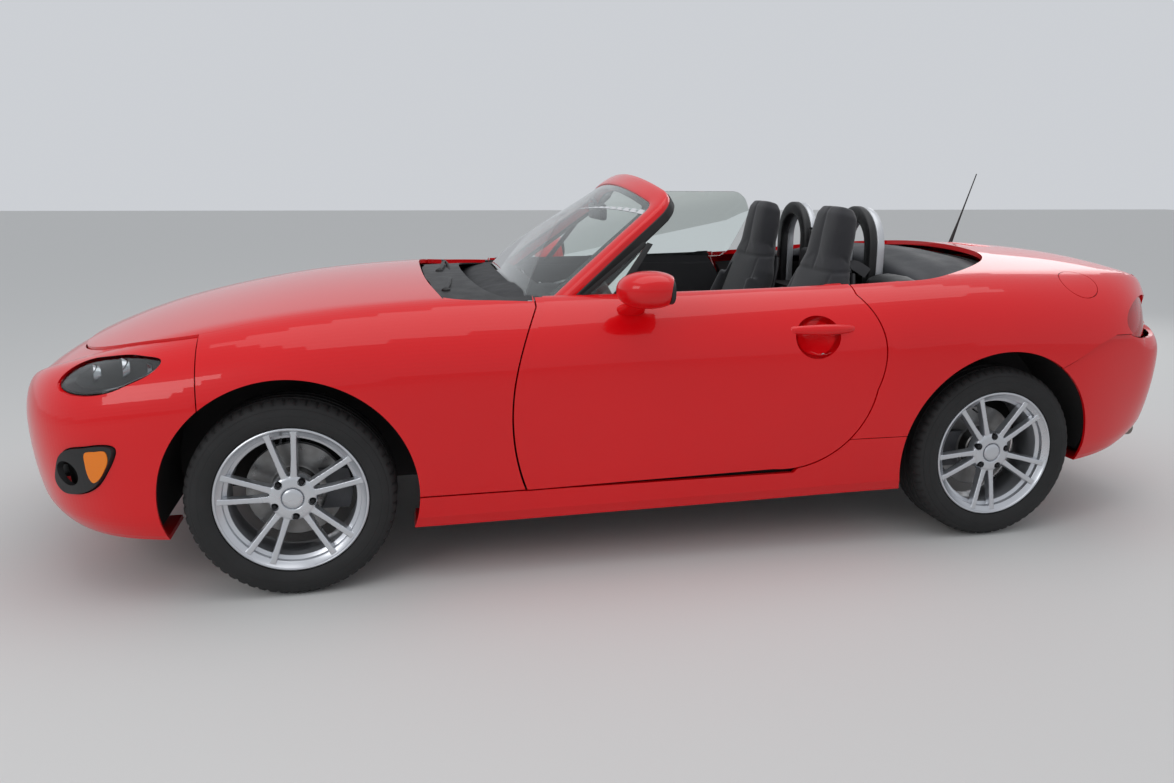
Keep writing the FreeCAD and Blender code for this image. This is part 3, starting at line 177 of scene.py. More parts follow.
def grid_faces(row_count, column_count, closed=False):
    i, j = np.meshgrid(np.arange(row_count - 1), np.arange(column_count - (0 if closed else 1)), indexing="ij")
    i, j = i.ravel(), j.ravel()
    after = (j + 1) % column_count
    return np.stack([i * column_count + j, (i + 1) * column_count + j,
                     (i + 1) * column_count + after, i * column_count + after], 1)


def border_faces(rows, columns):
    """Faces that join the border of one grid of points to that of the next, all the way round."""
    total = rows * columns
    edges = (list(range(columns)), [i * columns + columns - 1 for i in range(rows)],
             [(rows - 1) * columns + j for j in reversed(range(columns))],
             [i * columns for i in reversed(range(rows))])
    return [[a, b, total + b, total + a] for edge in edges for a, b in zip(edge, edge[1:])]


class Form:
    """A smooth outer surface: points and normals in rows along the car, and a tree to look them up."""

    def __init__(self, tail, shelf=None):
        sections = np.array(FRONT_SECTIONS + tail, float) / 1000
        middles = np.stack([sections[:, [0, 4, 1]], sections[:, [0, 6, 7]]], 1)
        steps = np.linalg.norm(np.diff(middles, axis=0), axis=2).max(1)
        places = np.concatenate([[0], np.cumsum(steps)])
        rows = spline(places, sections, np.linspace(0, places[-1], 330))
        if shelf is not None:
            behind = rows[:, 0] > shelf[0, 0]
            for column in (1, 2, 3):
                rows[behind, column] = np.interp(rows[behind, 0], shelf[:, 0], shelf[:, column])
        surface = np.array([half_section(row) for row in rows])
        surface = np.concatenate([dome(surface[0], -1)[::-1], surface, dome(surface[-1], 1)])
        for _ in range(5):
            soft = surface.copy()
            soft[1:-1] = (surface[:-2] + 2 * surface[1:-1] + surface[2:]) / 4
            ends = np.abs(surface[:, :1, :1]) > 1.93
            surface = np.where(ends, soft, surface)
        normals = grid_normals(surface)
        for axle, crease, low, high in FLARES:
            away_x, away_z = surface[:, :, 0] - axle, surface[:, :, 2] - AXLE_Z
            distance = np.hypot(away_x, away_z)
            angle = np.degrees(np.arctan2(away_z, away_x))
            share = 1 - smooth_step(distance, crease - 0.012, crease + 0.012)
            share *= smooth_step(angle, low - 22, low + 12) * (1 - smooth_step(angle, high - 12, high + 22))
            share *= smooth_step(normals[:, :, 1], 0.25, 0.6)
            surface += normals * (share * FLARE_RISE)[:, :, None]
        normals = grid_normals(surface)
        normals[:, 0, 1] = 0
        normals[:, -1, 1] = 0
        self.surface, self.normals = surface, normals
        self.full = np.concatenate([surface, (surface * mirror)[:, -2:0:-1]], axis=1)
        self.full_normals = np.concatenate([normals, (normals * mirror)[:, -2:0:-1]], axis=1)
        faces = grid_faces(self.full.shape[0], self.full.shape[1], True)
        self.triangles = np.concatenate([faces[:, [0, 1, 2]], faces[:, [0, 2, 3]]])
        self.points = self.full.reshape(-1, 3)
        self.point_normals = self.full_normals.reshape(-1, 3)
        self.tree = BVHTree.FromPolygons(self.points.tolist(), self.triangles.tolist())


body_form = Form(BODY_TAIL)
bumper_form = Form(BUMPER_TAIL, SHELF)
skin_cutters = []


def new_object(name, points, faces):
    mesh = bpy.data.meshes.new(name)
    mesh.from_pydata([tuple(p) for p in points], [], [tuple(f) for f in faces])
    mesh.validate()
    made = bpy.data.objects.new(name, mesh)
    bpy.context.scene.collection.objects.link(made)
    return made


def skin(name, x0, x1, first, last, thick, whole=False, ring=False, form=body_form):
    """Closed blank of sheet over part of a form, by x and by places round the section."""
    surface, normals = form.surface, form.normals
    picked = np.where((surface[:, 0, 0] > x0 - 0.03) & (surface[:, 0, 0] < x1 + 0.03))[0]
    if ring:
        outer, out_normals = form.full[picked], form.full_normals[picked]
    elif whole:
        outer = np.concatenate([(surface[picked, last:0:-1] * mirror), surface[picked, :last + 1]], 1)
        out_normals = np.concatenate([(normals[picked, last:0:-1] * mirror), normals[picked, :last + 1]], 1)
    else:
        outer, out_normals = surface[picked, first:last + 1] * mirror, normals[picked, first:last + 1] * mirror
    row_count, column_count = outer.shape[:2]
    inner = outer - out_normals * thick
    total = row_count * column_count
    points = np.concatenate([outer.reshape(-1, 3), inner.reshape(-1, 3)])
    top = grid_faces(row_count, column_count, ring)
    faces = top.tolist() + (top[:, ::-1] + total).tolist()
    if ring:
        for row in (0, row_count - 1):
            edge = [row * column_count + j for j in range(column_count)]
            at_end = (row == 0 and x0 < -2) or (row > 0 and x1 > 2)
            if at_end:
                faces.append(edge)
                faces.append([total + v for v in reversed(edge)])
            else:
                faces += [[edge[j - 1], edge[j], total + edge[j], total + edge[j - 1]] for j in range(column_count)]
    else:
        faces += border_faces(row_count, column_count)
    made = new_object(name, points, faces)
    outward(made)
    return made


def outward(obj):
    """Faces of a closed mesh turned to point outwards."""
    shape = bmesh.new()
    shape.from_mesh(obj.data)
    bmesh.ops.recalc_face_normals(shape, faces=shape.faces)
    if shape.calc_volume(signed=True) < 0:
        bmesh.ops.reverse_faces(shape, faces=shape.faces)
    shape.to_mesh(obj.data)
    shape.free()


def prism(name, outline, push):
    """Cutting block: a flat outline pushed along a direction."""
    count = len(outline)
    points = [Vector(p) for p in outline] + [Vector(p) + Vector(push) for p in outline]
    faces = [list(range(count))[::-1], list(range(count, 2 * count))]
    faces += [[i, (i + 1) % count, count + (i + 1) % count, count + i] for i in range(count)]
    made = new_object(name, points, faces)
    outward(made)
    skin_cutters.append(made)
    return made


def turns(count):
    return np.linspace(0, 2 * math.pi, count, endpoint=False)


def round_cutter(name, centre, axis, radius, length, sides=160):
    turn = Vector(axis).to_track_quat("Z", "Y").to_matrix()
    outline = [Vector(centre) + turn @ Vector((radius * math.cos(a), radius * math.sin(a), -length / 2))
               for a in turns(sides)]
    return prism(name, outline, Vector(axis).normalized() * length)


def only(obj):
    bpy.ops.object.select_all(action="DESELECT")
    obj.select_set(True)
    bpy.context.view_layer.objects.active = obj


def use(obj, kind, **settings):
    """A modifier put on and applied."""
    only(obj)
    modifier = obj.modifiers.new(kind.title(), kind)
    for key, value in settings.items():
        setattr(modifier, key, value)
    bpy.ops.object.modifier_apply(modifier=modifier.name)


def carve(obj, *cutters, operation="DIFFERENCE"):
    for cutter in cutters:
        use(obj, "BOOLEAN", object=cutter, operation=operation, solver="MANIFOLD")


def three_point_arc(a, b, c, count=40):
    """Points of the arc in a plane through three points."""
    (ax, ay), (bx, by), (cx, cy) = a, b, c
    d = 2 * (ax * (by - cy) + bx * (cy - ay) + cx * (ay - by))
    ux = ((ax * ax + ay * ay) * (by - cy) + (bx * bx + by * by) * (cy - ay) + (cx * cx + cy * cy) * (ay - by)) / d
    uy = ((ax * ax + ay * ay) * (cx - bx) + (bx * bx + by * by) * (ax - cx) + (cx * cx + cy * cy) * (bx - ax)) / d
    radius = math.hypot(ax - ux, ay - uy)
    start, middle, end = (math.atan2(y - uy, x - ux) for x, y in (a, b, c))
    turn = (end - start) % (2 * math.pi)
    if (middle - start) % (2 * math.pi) > turn:
        turn -= 2 * math.pi
    return [(ux + radius * math.cos(start + turn * t), uy + radius * math.sin(start + turn * t))
            for t in np.linspace(0, 1, count)]


def sewn(points, count=60):
    """Smooth run of points through a few points."""
    points = np.array(points, float)
    lengths = np.concatenate([[0], np.cumsum(np.linalg.norm(np.diff(points, axis=0), axis=1))])
    return spline(lengths, points, np.linspace(0, lengths[-1], count)).tolist()


def reflow(panel, form=body_form):
    """The panel's outer faces take the smooth normals of its form; its cut edges stay crisp."""
    mesh = panel.data
    corner_count = len(mesh.loops)
    corners = np.empty(corner_count, np.int32)
    mesh.loops.foreach_get("vertex_index", corners)
    points = np.empty(len(mesh.vertices) * 3, np.float32)
    mesh.vertices.foreach_get("co", points)
    points = points.reshape(-1, 3)
    found, spots, far = [], [], []
    for point in points.tolist():
        spot, _, index, distance = form.tree.find_nearest(point)
        found.append(index)
        spots.append(spot)
        far.append(distance)
    triangles = form.triangles[np.array(found)]
    a, b, c = (form.points[triangles[:, k]] for k in range(3))
    spots = np.array(spots)
    v0, v1, v2 = b - a, c - a, spots - a
    d00, d01, d11 = (v0 * v0).sum(1), (v0 * v1).sum(1), (v1 * v1).sum(1)
    d20, d21 = (v2 * v0).sum(1), (v2 * v1).sum(1)
    under = np.maximum(d00 * d11 - d01 * d01, 1e-18)
    wb = np.clip((d11 * d20 - d01 * d21) / under, 0, 1)
    wc = np.clip((d00 * d21 - d01 * d20) / under, 0, 1)
    na, nb, nc = (form.point_normals[triangles[:, k]] for k in range(3))
    smooth = na * (1 - wb - wc)[:, None] + nb * wb[:, None] + nc * wc[:, None]
    smooth /= np.maximum(np.linalg.norm(smooth, axis=1, keepdims=True), 1e-9)
    on_form = np.array(far) < 0.0012
    result = smooth[corners]
    for polygon in mesh.polygons:
        corner_range = slice(polygon.loop_start, polygon.loop_start + polygon.loop_total)
        own = corners[corner_range]
        flat = np.array(polygon.normal)
        if not on_form[own].all() or (smooth[own] @ flat).min() < 0.6:
            result[corner_range] = flat
    mesh.polygons.foreach_set("use_smooth", np.ones(len(mesh.polygons), bool))
    mesh.normals_split_custom_set(result.tolist())
    return panel


def other_side(panel, name):
    """The same panel for the car's right side."""
    twin = panel.copy()
    twin.data = panel.data.copy()
    twin.name = twin.data.name = name
    bpy.context.scene.collection.objects.link(twin)
    twin.data.transform(Matrix.Scale(-1, 4, (0, 1, 0)))
    twin.data.flip_normals()
    return twin


def linear(code):
    """Linear colour of an sRGB hex code."""
    parts = [int(code[i:i + 2], 16) / 255 for i in (0, 2, 4)]
    return [p / 12.92 if p <= 0.04045 else ((p + 0.055) / 1.055) ** 2.4 for p in parts] + [1.0]


def node(tree, kind, links=(), **settings):
    """One shader node; settings name its properties or its sockets, links join sockets to it."""
    made = tree.nodes.new("ShaderNode" + kind)
    for key, value in settings.items():
        if hasattr(made, key):
            setattr(made, key, value)
        else:
            made.inputs[key.replace("_", " ")].default_value = value
    for source, target in links:
        tree.links.new(source, made.inputs[target])
    return made


def finish(name, code, roughness, metal=0.0, coat=0.0, coat_roughness=0.03, dark=None, patch=6.0,
           grain=0.0, grain_scale=900.0, uneven=0.0, sheen=0.0, stretch=(1, 1, 1)):
    """Opaque finish: a colour that drifts to a darker one in patches, uneven gloss and a fine grain."""
    material = bpy.data.materials.new(name)
    material.use_nodes = True
    tree = material.node_tree
    shader = tree.nodes["Principled BSDF"]
    shader.inputs["Roughness"].default_value = roughness
    shader.inputs["Metallic"].default_value = metal
    shader.inputs["Coat Weight"].default_value = coat
    shader.inputs["Coat Roughness"].default_value = coat_roughness
    shader.inputs["Sheen Weight"].default_value = sheen
    place = node(tree, "TexCoord")
    spread = node(tree, "Mapping", [(place.outputs["Object"], "Vector")], Scale=stretch)
    clouds = node(tree, "TexNoise", [(spread.outputs[0], "Vector")], Scale=patch, Detail=4.0)
    tint = node(tree, "Mix", [(clouds.outputs["Fac"], "Factor")], data_type="RGBA")
    tint.inputs[6].default_value = linear(code)
    tint.inputs[7].default_value = linear(dark or code)
    tree.links.new(tint.outputs[2], shader.inputs["Base Color"])
    if uneven:
        gloss = node(tree, "MapRange", [(clouds.outputs["Fac"], "Value")], From_Min=0.3, From_Max=0.7,
                     To_Min=roughness - uneven, To_Max=roughness + uneven)
        tree.links.new(gloss.outputs[0], shader.inputs["Roughness"])
    if grain:
        specks = node(tree, "TexNoise", [(spread.outputs[0], "Vector")], Scale=grain_scale, Detail=3.0)
        relief = node(tree, "Bump", [(specks.outputs["Fac"], "Height")], Strength=1.0, Distance=grain)
        tree.links.new(relief.outputs[0], shader.inputs["Normal"])
    return material


def coat_with(obj, material):
    obj.data.materials.clear()
    obj.data.materials.append(material)


def fit(obj, material, body="root", stands_for=()):
    """Material, body and the CAD nodes that the piece stands for."""
    if material:
        coat_with(obj, material)
    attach(obj, body)
    if stands_for:
        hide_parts(*stands_for)
    return obj


def mm(*values):
    return tuple(v / 1000 for v in values)


red_paint = finish("red_paint", "E0000C", 0.35, coat=0.75, coat_roughness=0.02, dark="D4000A", patch=2.0,
                   grain=0.00002, grain_scale=260.0)
red_paint.node_tree.nodes["Principled BSDF"].inputs["Specular IOR Level"].default_value = 0.15

# Cutters for the panel seams: each seam is a 5 mm gap between neighbouring panels.
SEAM = 0.005
HALF_SEAM = SEAM / 2
ARCH_R = 0.368
SIDE_REACH = 1.2
BONNET_SIDE = [mm(x, y) for x, y in ((-1850, 0), (-1838, 200), (-1800, 380), (-1700, 560), (-1560, 672),
                                     (-1406, 722), (-1200, 712), (-985, 700), (-712, 688))]
BONNET_REAR = [mm(x, y) for x, y in ((-712, 688), (-745, 440), (-758, 200), (-760, 0))]
COWL_OUTLINE = [mm(x, y) for x, y in ((-748, 200), (-735, 440), (-703, 684), (-560, 722), (-445, 738),
                                      (-440, 690), (-520, 600), (-585, 400), (-605, 200))]
LID_FRONT = [mm(x, y) for x, y in ((1378, 0), (1378, 300), (1378, 560))]
LID_SIDE = [mm(x, y) for x, y in ((1392, 592), (1560, 618), (1740, 640), (1830, 600), (1880, 500),
                                  (1950, 466), (2100, 455))]
TOP_SIDE = [mm(x, y) for x, y in ((790, 718), (920, 716), (1040, 670), (1150, 596), (1250, 500),
                                  (1320, 380), (1352, 220), (1360, 0))]
SILL_LINE = [mm(x, z) for x, z in ((-1000, 284.5), (400, 284.5), (520, 390), (1000, 390))]
REAR_SEAM = [mm(x, z) for x, z in ((1340, 592), (1420, 628), (1510, 678), (1588, 707), (1700, 703), (3000, 703))]
BUMPER_SEAM = -1.406
# Centre, direction of its length, outline in mm along that direction and above it
HEADLAMP = ((-1.640, -0.715, 0.690), (310, -205, 80),
            ((-143, -8), (-132, 15), (-104, 32), (-20, 36), (59, 28), (116, 14), (157, -8), (138, -30),
             (101, -43), (60, -54), (5, -58), (-65, -48), (-118, -30)))
TAIL_LAMP = ((1.790, -0.700, 0.776), (-200, -215, 12),
             ((-185, -18), (-150, 22), (-80, 42), (5, 47), (74, 37), (142, 9), (172, -16), (183, -47),
              (164, -72), (119, -90), (40, -97), (-60, -90), (-140, -66), (-178, -42)))
FOG = ((-1.745, -0.745, 0.432), (215, -150, 0),
       ((-66, -22), (-42, 18), (-10, 42), (50, 54), (110, 62), (138, 55), (132, 24), (108, -16), (76, -56),
        (23, -86), (-25, -95), (-62, -90), (-80, -66)))
FUEL_CENTRE = Vector((1.483, -0.735, 0.867))
FUEL_AXIS = Vector((0, -0.62, 0.785))


def both_ways(points):
    """Plan outline with its mirror image: from the centreline round +Y and back along -Y."""
    return list(points) + [(x, -y) for x, y in reversed(points) if abs(y) > 1e-6]


def moved_out(points, distance):
    """Closed outline moved outwards."""
    points = np.array(points, float)
    tangents = np.roll(points, -1, 0) - np.roll(points, 1, 0)
    tangents /= np.linalg.norm(tangents, axis=1, keepdims=True)
    area = (points[:, 0] * np.roll(points[:, 1], -1) - np.roll(points[:, 0], -1) * points[:, 1]).sum()
    turn = np.stack([tangents[:, 1], -tangents[:, 0]], 1) * (1 if area > 0 else -1)
    return (points + turn * distance).tolist()


def plan_cutter(name, points, low, high, grow=0.0):
    return prism(name, [(x, y, low) for x, y in moved_out(points, grow)], (0, 0, high - low))


def side_cutter(name, points, near=0.5):
    return prism(name, [(x, -near, z) for x, z in points], (0, -(SIDE_REACH - near), 0))


def block_cutter(name, x0, x1, y0, y1, z0, z1):
    return prism(name, [(x0, y0, z0), (x1, y0, z0), (x1, y1, z0), (x0, y1, z0)], (0, 0, z1 - z0))


def round_loop(points, count=96):
    """Smooth closed run of points through the points of an outline."""
    points = np.array(list(points) * 3, float)
    lengths = np.concatenate([[0], np.cumsum(np.linalg.norm(np.diff(points, axis=0), axis=1))])
    third = len(points) // 3
    wanted = np.linspace(lengths[third], lengths[2 * third], count + 1)[:-1]
    return spline(lengths, points, wanted)


def lamp_axes(data):
    """Directions of a corner lamp: along its length, up its height and outwards."""
    u = Vector(data[1]).normalized()
    w = (Vector((0, 0, 1)) - u * u.z).normalized()
    return u, w, u.cross(w)


def lamp_ring(data, grow=0.0, count=96, pushed=0.0):
    u, w, axis = lamp_axes(data)
    outline = moved_out(round_loop(data[2], count), grow * 1000)
    return [Vector(data[0]) + u * (a / 1000) + w * (b / 1000) + axis * pushed for a, b in outline]


def lamp_cutter(name, data, grow, side=-1, reach=0.17):
    ring = lamp_ring(data, grow, pushed=-reach)
    push = lamp_axes(data)[2] * 2 * reach
    if side > 0:
        ring = [Vector((p.x, -p.y, p.z)) for p in ring]
        push = Vector((push.x, -push.y, push.z))
    return prism(name, ring, push)


bonnet_outline = both_ways(sewn(BONNET_SIDE, 80) + sewn(BONNET_REAR, 40)[1:])
lid_outline = both_ways(sewn(LID_FRONT, 8) + sewn(LID_SIDE, 60))
lid_outline = lid_outline[:len(lid_outline) // 2 + 1] + [(2.1, 0)] + lid_outline[len(lid_outline) // 2 + 1:]
top_outline = both_ways([(0.79, 0.0)] + sewn(TOP_SIDE, 90))
cowl_outline = both_ways([mm(-750, 0)] + sewn(COWL_OUTLINE[:5], 30) + sewn(COWL_OUTLINE[5:], 20) + [mm(-610, 0)])


def door_outline(grow):
    g = grow * 1000
    front = three_point_arc((-481 - g, 288 - g), (-509 - g, 640), (-433 - g, 845), 50)
    rear = three_point_arc((618 + g, 862), (693 + g, 704), (672 + g, 560), 30)
    sweep = three_point_arc((672 + g, 560), (565 + 0.6 * g, 372 - 0.8 * g), (330, 303 - g), 50)
    points = front + [(front[-1][0], 1100), (rear[0][0], 1100)] + rear + sweep[1:]
    return [mm(*p) for p in points]


bonnet_cutter = plan_cutter("bonnet_cutter", bonnet_outline, 0.56, 1.2)
bonnet_hole = plan_cutter("bonnet_hole", bonnet_outline, 0.56, 1.2, SEAM)
lid_cutter = plan_cutter("lid_cutter", lid_outline, 0.706, 1.2)
lid_hole = plan_cutter("lid_hole", lid_outline, 0.701, 1.2, SEAM)
top_hole = plan_cutter("top_hole", top_outline, 0.5, 1.2, SEAM)
cowl_hole = plan_cutter("cowl_hole", cowl_outline, 0.6, 1.2, HALF_SEAM)
door_cutter = side_cutter("door_cutter", door_outline(0))
door_hole = side_cutter("door_hole", door_outline(SEAM))
arch_cutters = {axle: round_cutter("arch", (axle, -1.0, AXLE_Z), (0, 1, 0), ARCH_R, 1.3) for axle in (FRONT_AXLE,
        REAR_AXLE)}
arch_cutters_right = {axle: round_cutter("arch", (axle, 1.0, AXLE_Z), (0, 1, 0), ARCH_R,
                                         1.3) for axle in (FRONT_AXLE, REAR_AXLE)}
head_holes = [lamp_cutter("head_hole", HEADLAMP, HALF_SEAM, side) for side in (-1, 1)]
tail_holes = [lamp_cutter("tail_hole", TAIL_LAMP, HALF_SEAM, side) for side in (-1, 1)]
fog_holes = [lamp_cutter("fog_hole", FOG, HALF_SEAM, side) for side in (-1, 1)]
SHOULDER = 75
ROUND = SIDE_COUNT + 3

# Bonnet: a pressed steel panel, painted in the body's gloss red. It is cut from the body's sheet
# along its seams, hinges at its rear edge and shuts on the bar behind the front bumper.
bonnet = skin("bonnet_panel", -1.86, -0.70, 0, SHOULDER, 0.016, whole=True)
carve(bonnet, bonnet_cutter, operation="INTERSECT")
reflow(bonnet)
fit(bonnet, red_paint, "bonnet", ["bonnet"])

# Boot lid: a pressed steel panel, painted, that wraps over the tail. Its seam runs down past the
# lamps, and it hinges at its front edge.
boot_lid = skin("boot_lid_panel", 1.37, 2.1, 0, SIDE_COUNT - 30, 0.016, whole=True)
carve(boot_lid, lid_cutter, operation="INTERSECT")
reflow(boot_lid)
fit(boot_lid, red_paint, "boot_lid", ["boot_lid"])

# Front bumper: one moulded and painted plastic cover round the nose, with openings for the mouth,
# the headlamps and the fog lamps. It is clipped to the wings along its seam.
MOUTH = [(-0.43, 0.330), (-0.40, 0.268), (-0.30, 0.252), (0.30, 0.252), (0.40, 0.268), (0.43, 0.330),
         (0.37, 0.386), (0.20, 0.398), (-0.20, 0.398), (-0.37, 0.386)]
front_bumper = skin("front_bumper_cover", -2.1, BUMPER_SEAM, 0, 0, 0.010, ring=True)
behind_seam = block_cutter("behind_seam", BUMPER_SEAM - HALF_SEAM, 0, -1, 1, 0, 1.2)
under_nose = block_cutter("under_nose", -1.76, 0, -0.6, 0.6, 0, 0.24)
mouth_loop = spline(np.arange(len(MOUTH) + 3.0), np.array(MOUTH + MOUTH[:3]), np.linspace(1, len(MOUTH) + 1,
        90)[:-1])
mouth_cutter = prism("mouth", [(-2.2, y, z) for y, z in mouth_loop.tolist()], (0.4, 0, 0))
carve(front_bumper, behind_seam, bonnet_hole, arch_cutters[FRONT_AXLE], arch_cutters_right[FRONT_AXLE],
      *head_holes, *fog_holes, mouth_cutter, under_nose)
reflow(front_bumper)
fit(front_bumper, red_paint, stands_for=["front_bumper"])

# Front wings: pressed steel, painted, bolted on between bumper, bonnet, screen pillar and door,
# with the flared round arch over the wheel cut out of them.
wing = skin("wing_panel_left", BUMPER_SEAM, -0.43, 30, ROUND, 0.018)
wing_keep = block_cutter("wing_keep", BUMPER_SEAM + HALF_SEAM, -0.43, -1, -0.64, 0.2895, 1.2)
carve(wing, wing_keep, operation="INTERSECT")
carve(wing, bonnet_hole, cowl_hole, door_hole, arch_cutters[FRONT_AXLE],
      block_cutter("pillar_gap", -0.62, -0.40, -0.70, -0.60, 0.6, 1.2))
reflow(wing)
wing_right = reflow(other_side(wing, "wing_panel_right"))
fit(wing, red_paint, stands_for=["wing_left"])
fit(wing_right, red_paint, stands_for=["wing_right"])

# Sills: painted steel pressings from arch to arch below the doors, welded to the floor and turned
# in underneath.
sill = skin("sill_left", -1.0, 1.0, 50, ROUND + 4, 0.018)
sill_keep = side_cutter("sill_keep", SILL_LINE + [(1.0, 0.0), (-1.0, 0.0)], 0.69)
carve(sill, sill_keep, operation="INTERSECT")
carve(sill, door_hole, arch_cutters[FRONT_AXLE], arch_cutters[REAR_AXLE])
reflow(sill)
sill_right = reflow(other_side(sill, "sill_right"))
fit(sill, red_paint, stands_for=["sills"])
fit(sill_right, red_paint, stands_for=["sills"])

# Rear quarters and deck: one painted steel pressing round the well of the folded top and over the
# rear wheels, with the round fuel lid let into its left side.
quarter_top = [(x, z + HALF_SEAM) for x, z in REAR_SEAM]
quarter_keep = side_cutter("quarter_keep", [(0.56, 0.3925), (1.34, 0.3925)] + quarter_top + [(3, 1.2),
        (0.56, 1.2)], 0.0)
quarter = skin("quarter_panel_left", 0.56, 2.1, 0, ROUND, 0.018)
carve(quarter, quarter_keep, operation="INTERSECT")
carve(quarter, lid_hole, top_hole, door_hole, arch_cutters[REAR_AXLE], tail_holes[0],
      block_cutter("cockpit", 0.4, 0.792, -0.723, 0.3, 0.5, 1.2))
quarter_right = other_side(quarter, "quarter_panel_right")
fuel_hole = round_cutter("fuel_hole", FUEL_CENTRE, FUEL_AXIS, 0.072, 0.12)
fuel_cutter = round_cutter("fuel_cutter", FUEL_CENTRE, FUEL_AXIS, 0.0695, 0.12)
fuel_lid = quarter.copy()
fuel_lid.data = quarter.data.copy()
fuel_lid.name = "fuel_flap"
bpy.context.scene.collection.objects.link(fuel_lid)
carve(fuel_lid, fuel_cutter, operation="INTERSECT")
carve(quarter, fuel_hole)
for panel in (quarter, quarter_right, fuel_lid):
    reflow(panel)
fit(quarter, red_paint, stands_for=["quarter_left", "rear_deck"])
fit(quarter_right, red_paint, stands_for=["quarter_right"])
fit(fuel_lid, red_paint, "fuel_lid", ["fuel_lid"])

# Rear bumper: one moulded and painted plastic cover below the lamps and the boot lid, with a shelf
# along its top edge.
SHELF_HOLE = [mm(x, y) for x, y in ((1690, 0), (1690, 782), (1750, 747), (1800, 711), (1840, 668), (1865, 637),
                                    (1890, 597), (1910, 557), (1925, 510), (1930, 462), (1932, 0))]
rear_bumper = skin("rear_bumper_cover", 1.34, 2.1, 0, 0, 0.010, ring=True, form=bumper_form)
bumper_top = [(x, z - HALF_SEAM) for x, z in REAR_SEAM]
bumper_keep = side_cutter("bumper_keep", [(1.34, 0.0)] + bumper_top + [(3, 0.0)], -1.2)
carve(rear_bumper, bumper_keep, operation="INTERSECT")
carve(rear_bumper, arch_cutters[REAR_AXLE], arch_cutters_right[REAR_AXLE], *tail_holes,
      block_cutter("under_tail", 1.0, 1.89, -0.6, 0.6, 0, 0.345),
      plan_cutter("shelf_hole", both_ways(SHELF_HOLE), 0.6, 1.2))
reflow(rear_bumper, bumper_form)
fit(rear_bumper, red_paint, stands_for=["rear_bumper"])

# Doors: painted steel outer skins, each with a round cup pressed in behind the bar handle. They are
# folded over a boxed inner frame, which the trim covers.
HANDLE = (0.475, -0.842, 0.760)
CUP_BALL_R = 0.088
CUP_FLOOR_Y = -0.8085


def cup_cutter():
    """Round recess behind the handle, a shallow ball pressed into the skin."""
    bpy.ops.object.select_all(action="DESELECT")
    bpy.ops.mesh.primitive_uv_sphere_add(segments=96, ring_count=64, radius=CUP_BALL_R,
                                         location=(HANDLE[0] - 0.018, CUP_FLOOR_Y - CUP_BALL_R, HANDLE[2] - 0.008))
    ball = bpy.context.object
    ball.name = "cup_cutter"
    only(ball)
    bpy.ops.object.transform_apply()
    skin_cutters.append(ball)
    return ball


door_skin = skin("door_skin_left", -0.52, 0.70, 28, ROUND, 0.018)
carve(door_skin, door_cutter, operation="INTERSECT")
carve(door_skin, cup_cutter(), block_cutter("over_cabin", -0.60, 0.80, -0.7165, 0, 0.2, 1.2))
reflow(door_skin)
door_skin_right = reflow(other_side(door_skin, "door_skin_right"))
fit(door_skin, red_paint, "door_left", ["door_left"])
fit(door_skin_right, red_paint, "door_right", ["door_right"])

# Wheels: cast alloy, five pairs of spokes that meet in a V at the hub, a bright stepped rim, dark cone
# nuts in round pockets, a bare centre cap and a ventilated steel disc behind. The hub and the spokes
# are blended into one casting by a fine remesh.
TRACK_HALF = 0.745
PAIR_ANGLE = {"f": 95.8, "r": 119.6}
RIM_PROFILE = [mm(r, y) for r, y in (
    (220.5, -88), (219, -93), (216, -94.6), (212.5, -93), (210, -89), (199, -82), (196, -79), (195, -66),
    (192, -64), (184, -60), (182, -56), (181, -20), (181, 30), (195, 80), (200, 91), (204, 94.5), (218, 94.5),
    (220.5, 91), (220.5, 84), (204, 83), (203, 80), (190, 30), (189, -20), (203, -80), (204, -83.5),
    (220.5, -84.5))]
HUB_PROFILE = [mm(r, y) for r, y in (
    (0, -69), (31, -69), (33, -75), (37, -77), (60, -75), (67, -71), (71, -60), (71, -34), (60, -30), (0, -30))]
CAP_PROFILE = [mm(r, y) for r, y in ((0, -80), (18, -79.6), (27, -78), (29.6, -75.5), (30, -68), (0, -68))]
DISC_PROFILE = [mm(r, y) for r, y in (
    (16.5, -24), (66, -24), (70, -20), (71, 22), (78, 23), (143.5, 23), (145, 24.5), (145, 32), (135, 32.5),
    (135, 35.5), (145, 36), (145, 43.5), (143.5, 45), (30, 45), (16.5, 44))]


def lathe(name, profile, steps=160, closed=True):
    """Ring turned about the Y axis from a profile of radius and y."""
    turn = turns(steps)
    profile = np.array(profile, float)
    points = np.stack([np.outer(np.cos(turn), profile[:, 0]), np.tile(profile[:, 1], (steps, 1)),
                       np.outer(np.sin(turn), profile[:, 0])], 2).reshape(-1, 3)
    count = len(profile)
    faces = [[i * count + j, i * count + (j + 1) % count, ((i + 1) % steps) * count + (j + 1) % count,
              ((i + 1) % steps) * count + j] for i in range(steps) for j in range(count if closed else count - 1)]
    made = new_object(name, points, faces)
    clean(made)
    return made


def clean(obj, distance=0.00001):
    """Doubled points joined, empty faces dropped and the rest turned outwards."""
    shape = bmesh.new()
    shape.from_mesh(obj.data)
    bmesh.ops.remove_doubles(shape, verts=shape.verts, dist=distance)
    bmesh.ops.dissolve_degenerate(shape, edges=shape.edges, dist=distance / 10)
    shape.to_mesh(obj.data)
    shape.free()
    outward(obj)


def soften(obj, width=0.0, segments=2, angle=35, limit=40):
    """Rounded edges and smooth shading that keeps the sharp ones."""
    if width:
        use(obj, "BEVEL", width=width, segments=segments, limit_method="ANGLE", angle_limit=math.radians(limit))
    only(obj)
    bpy.ops.object.shade_smooth_by_angle(angle=math.radians(angle))
    return obj


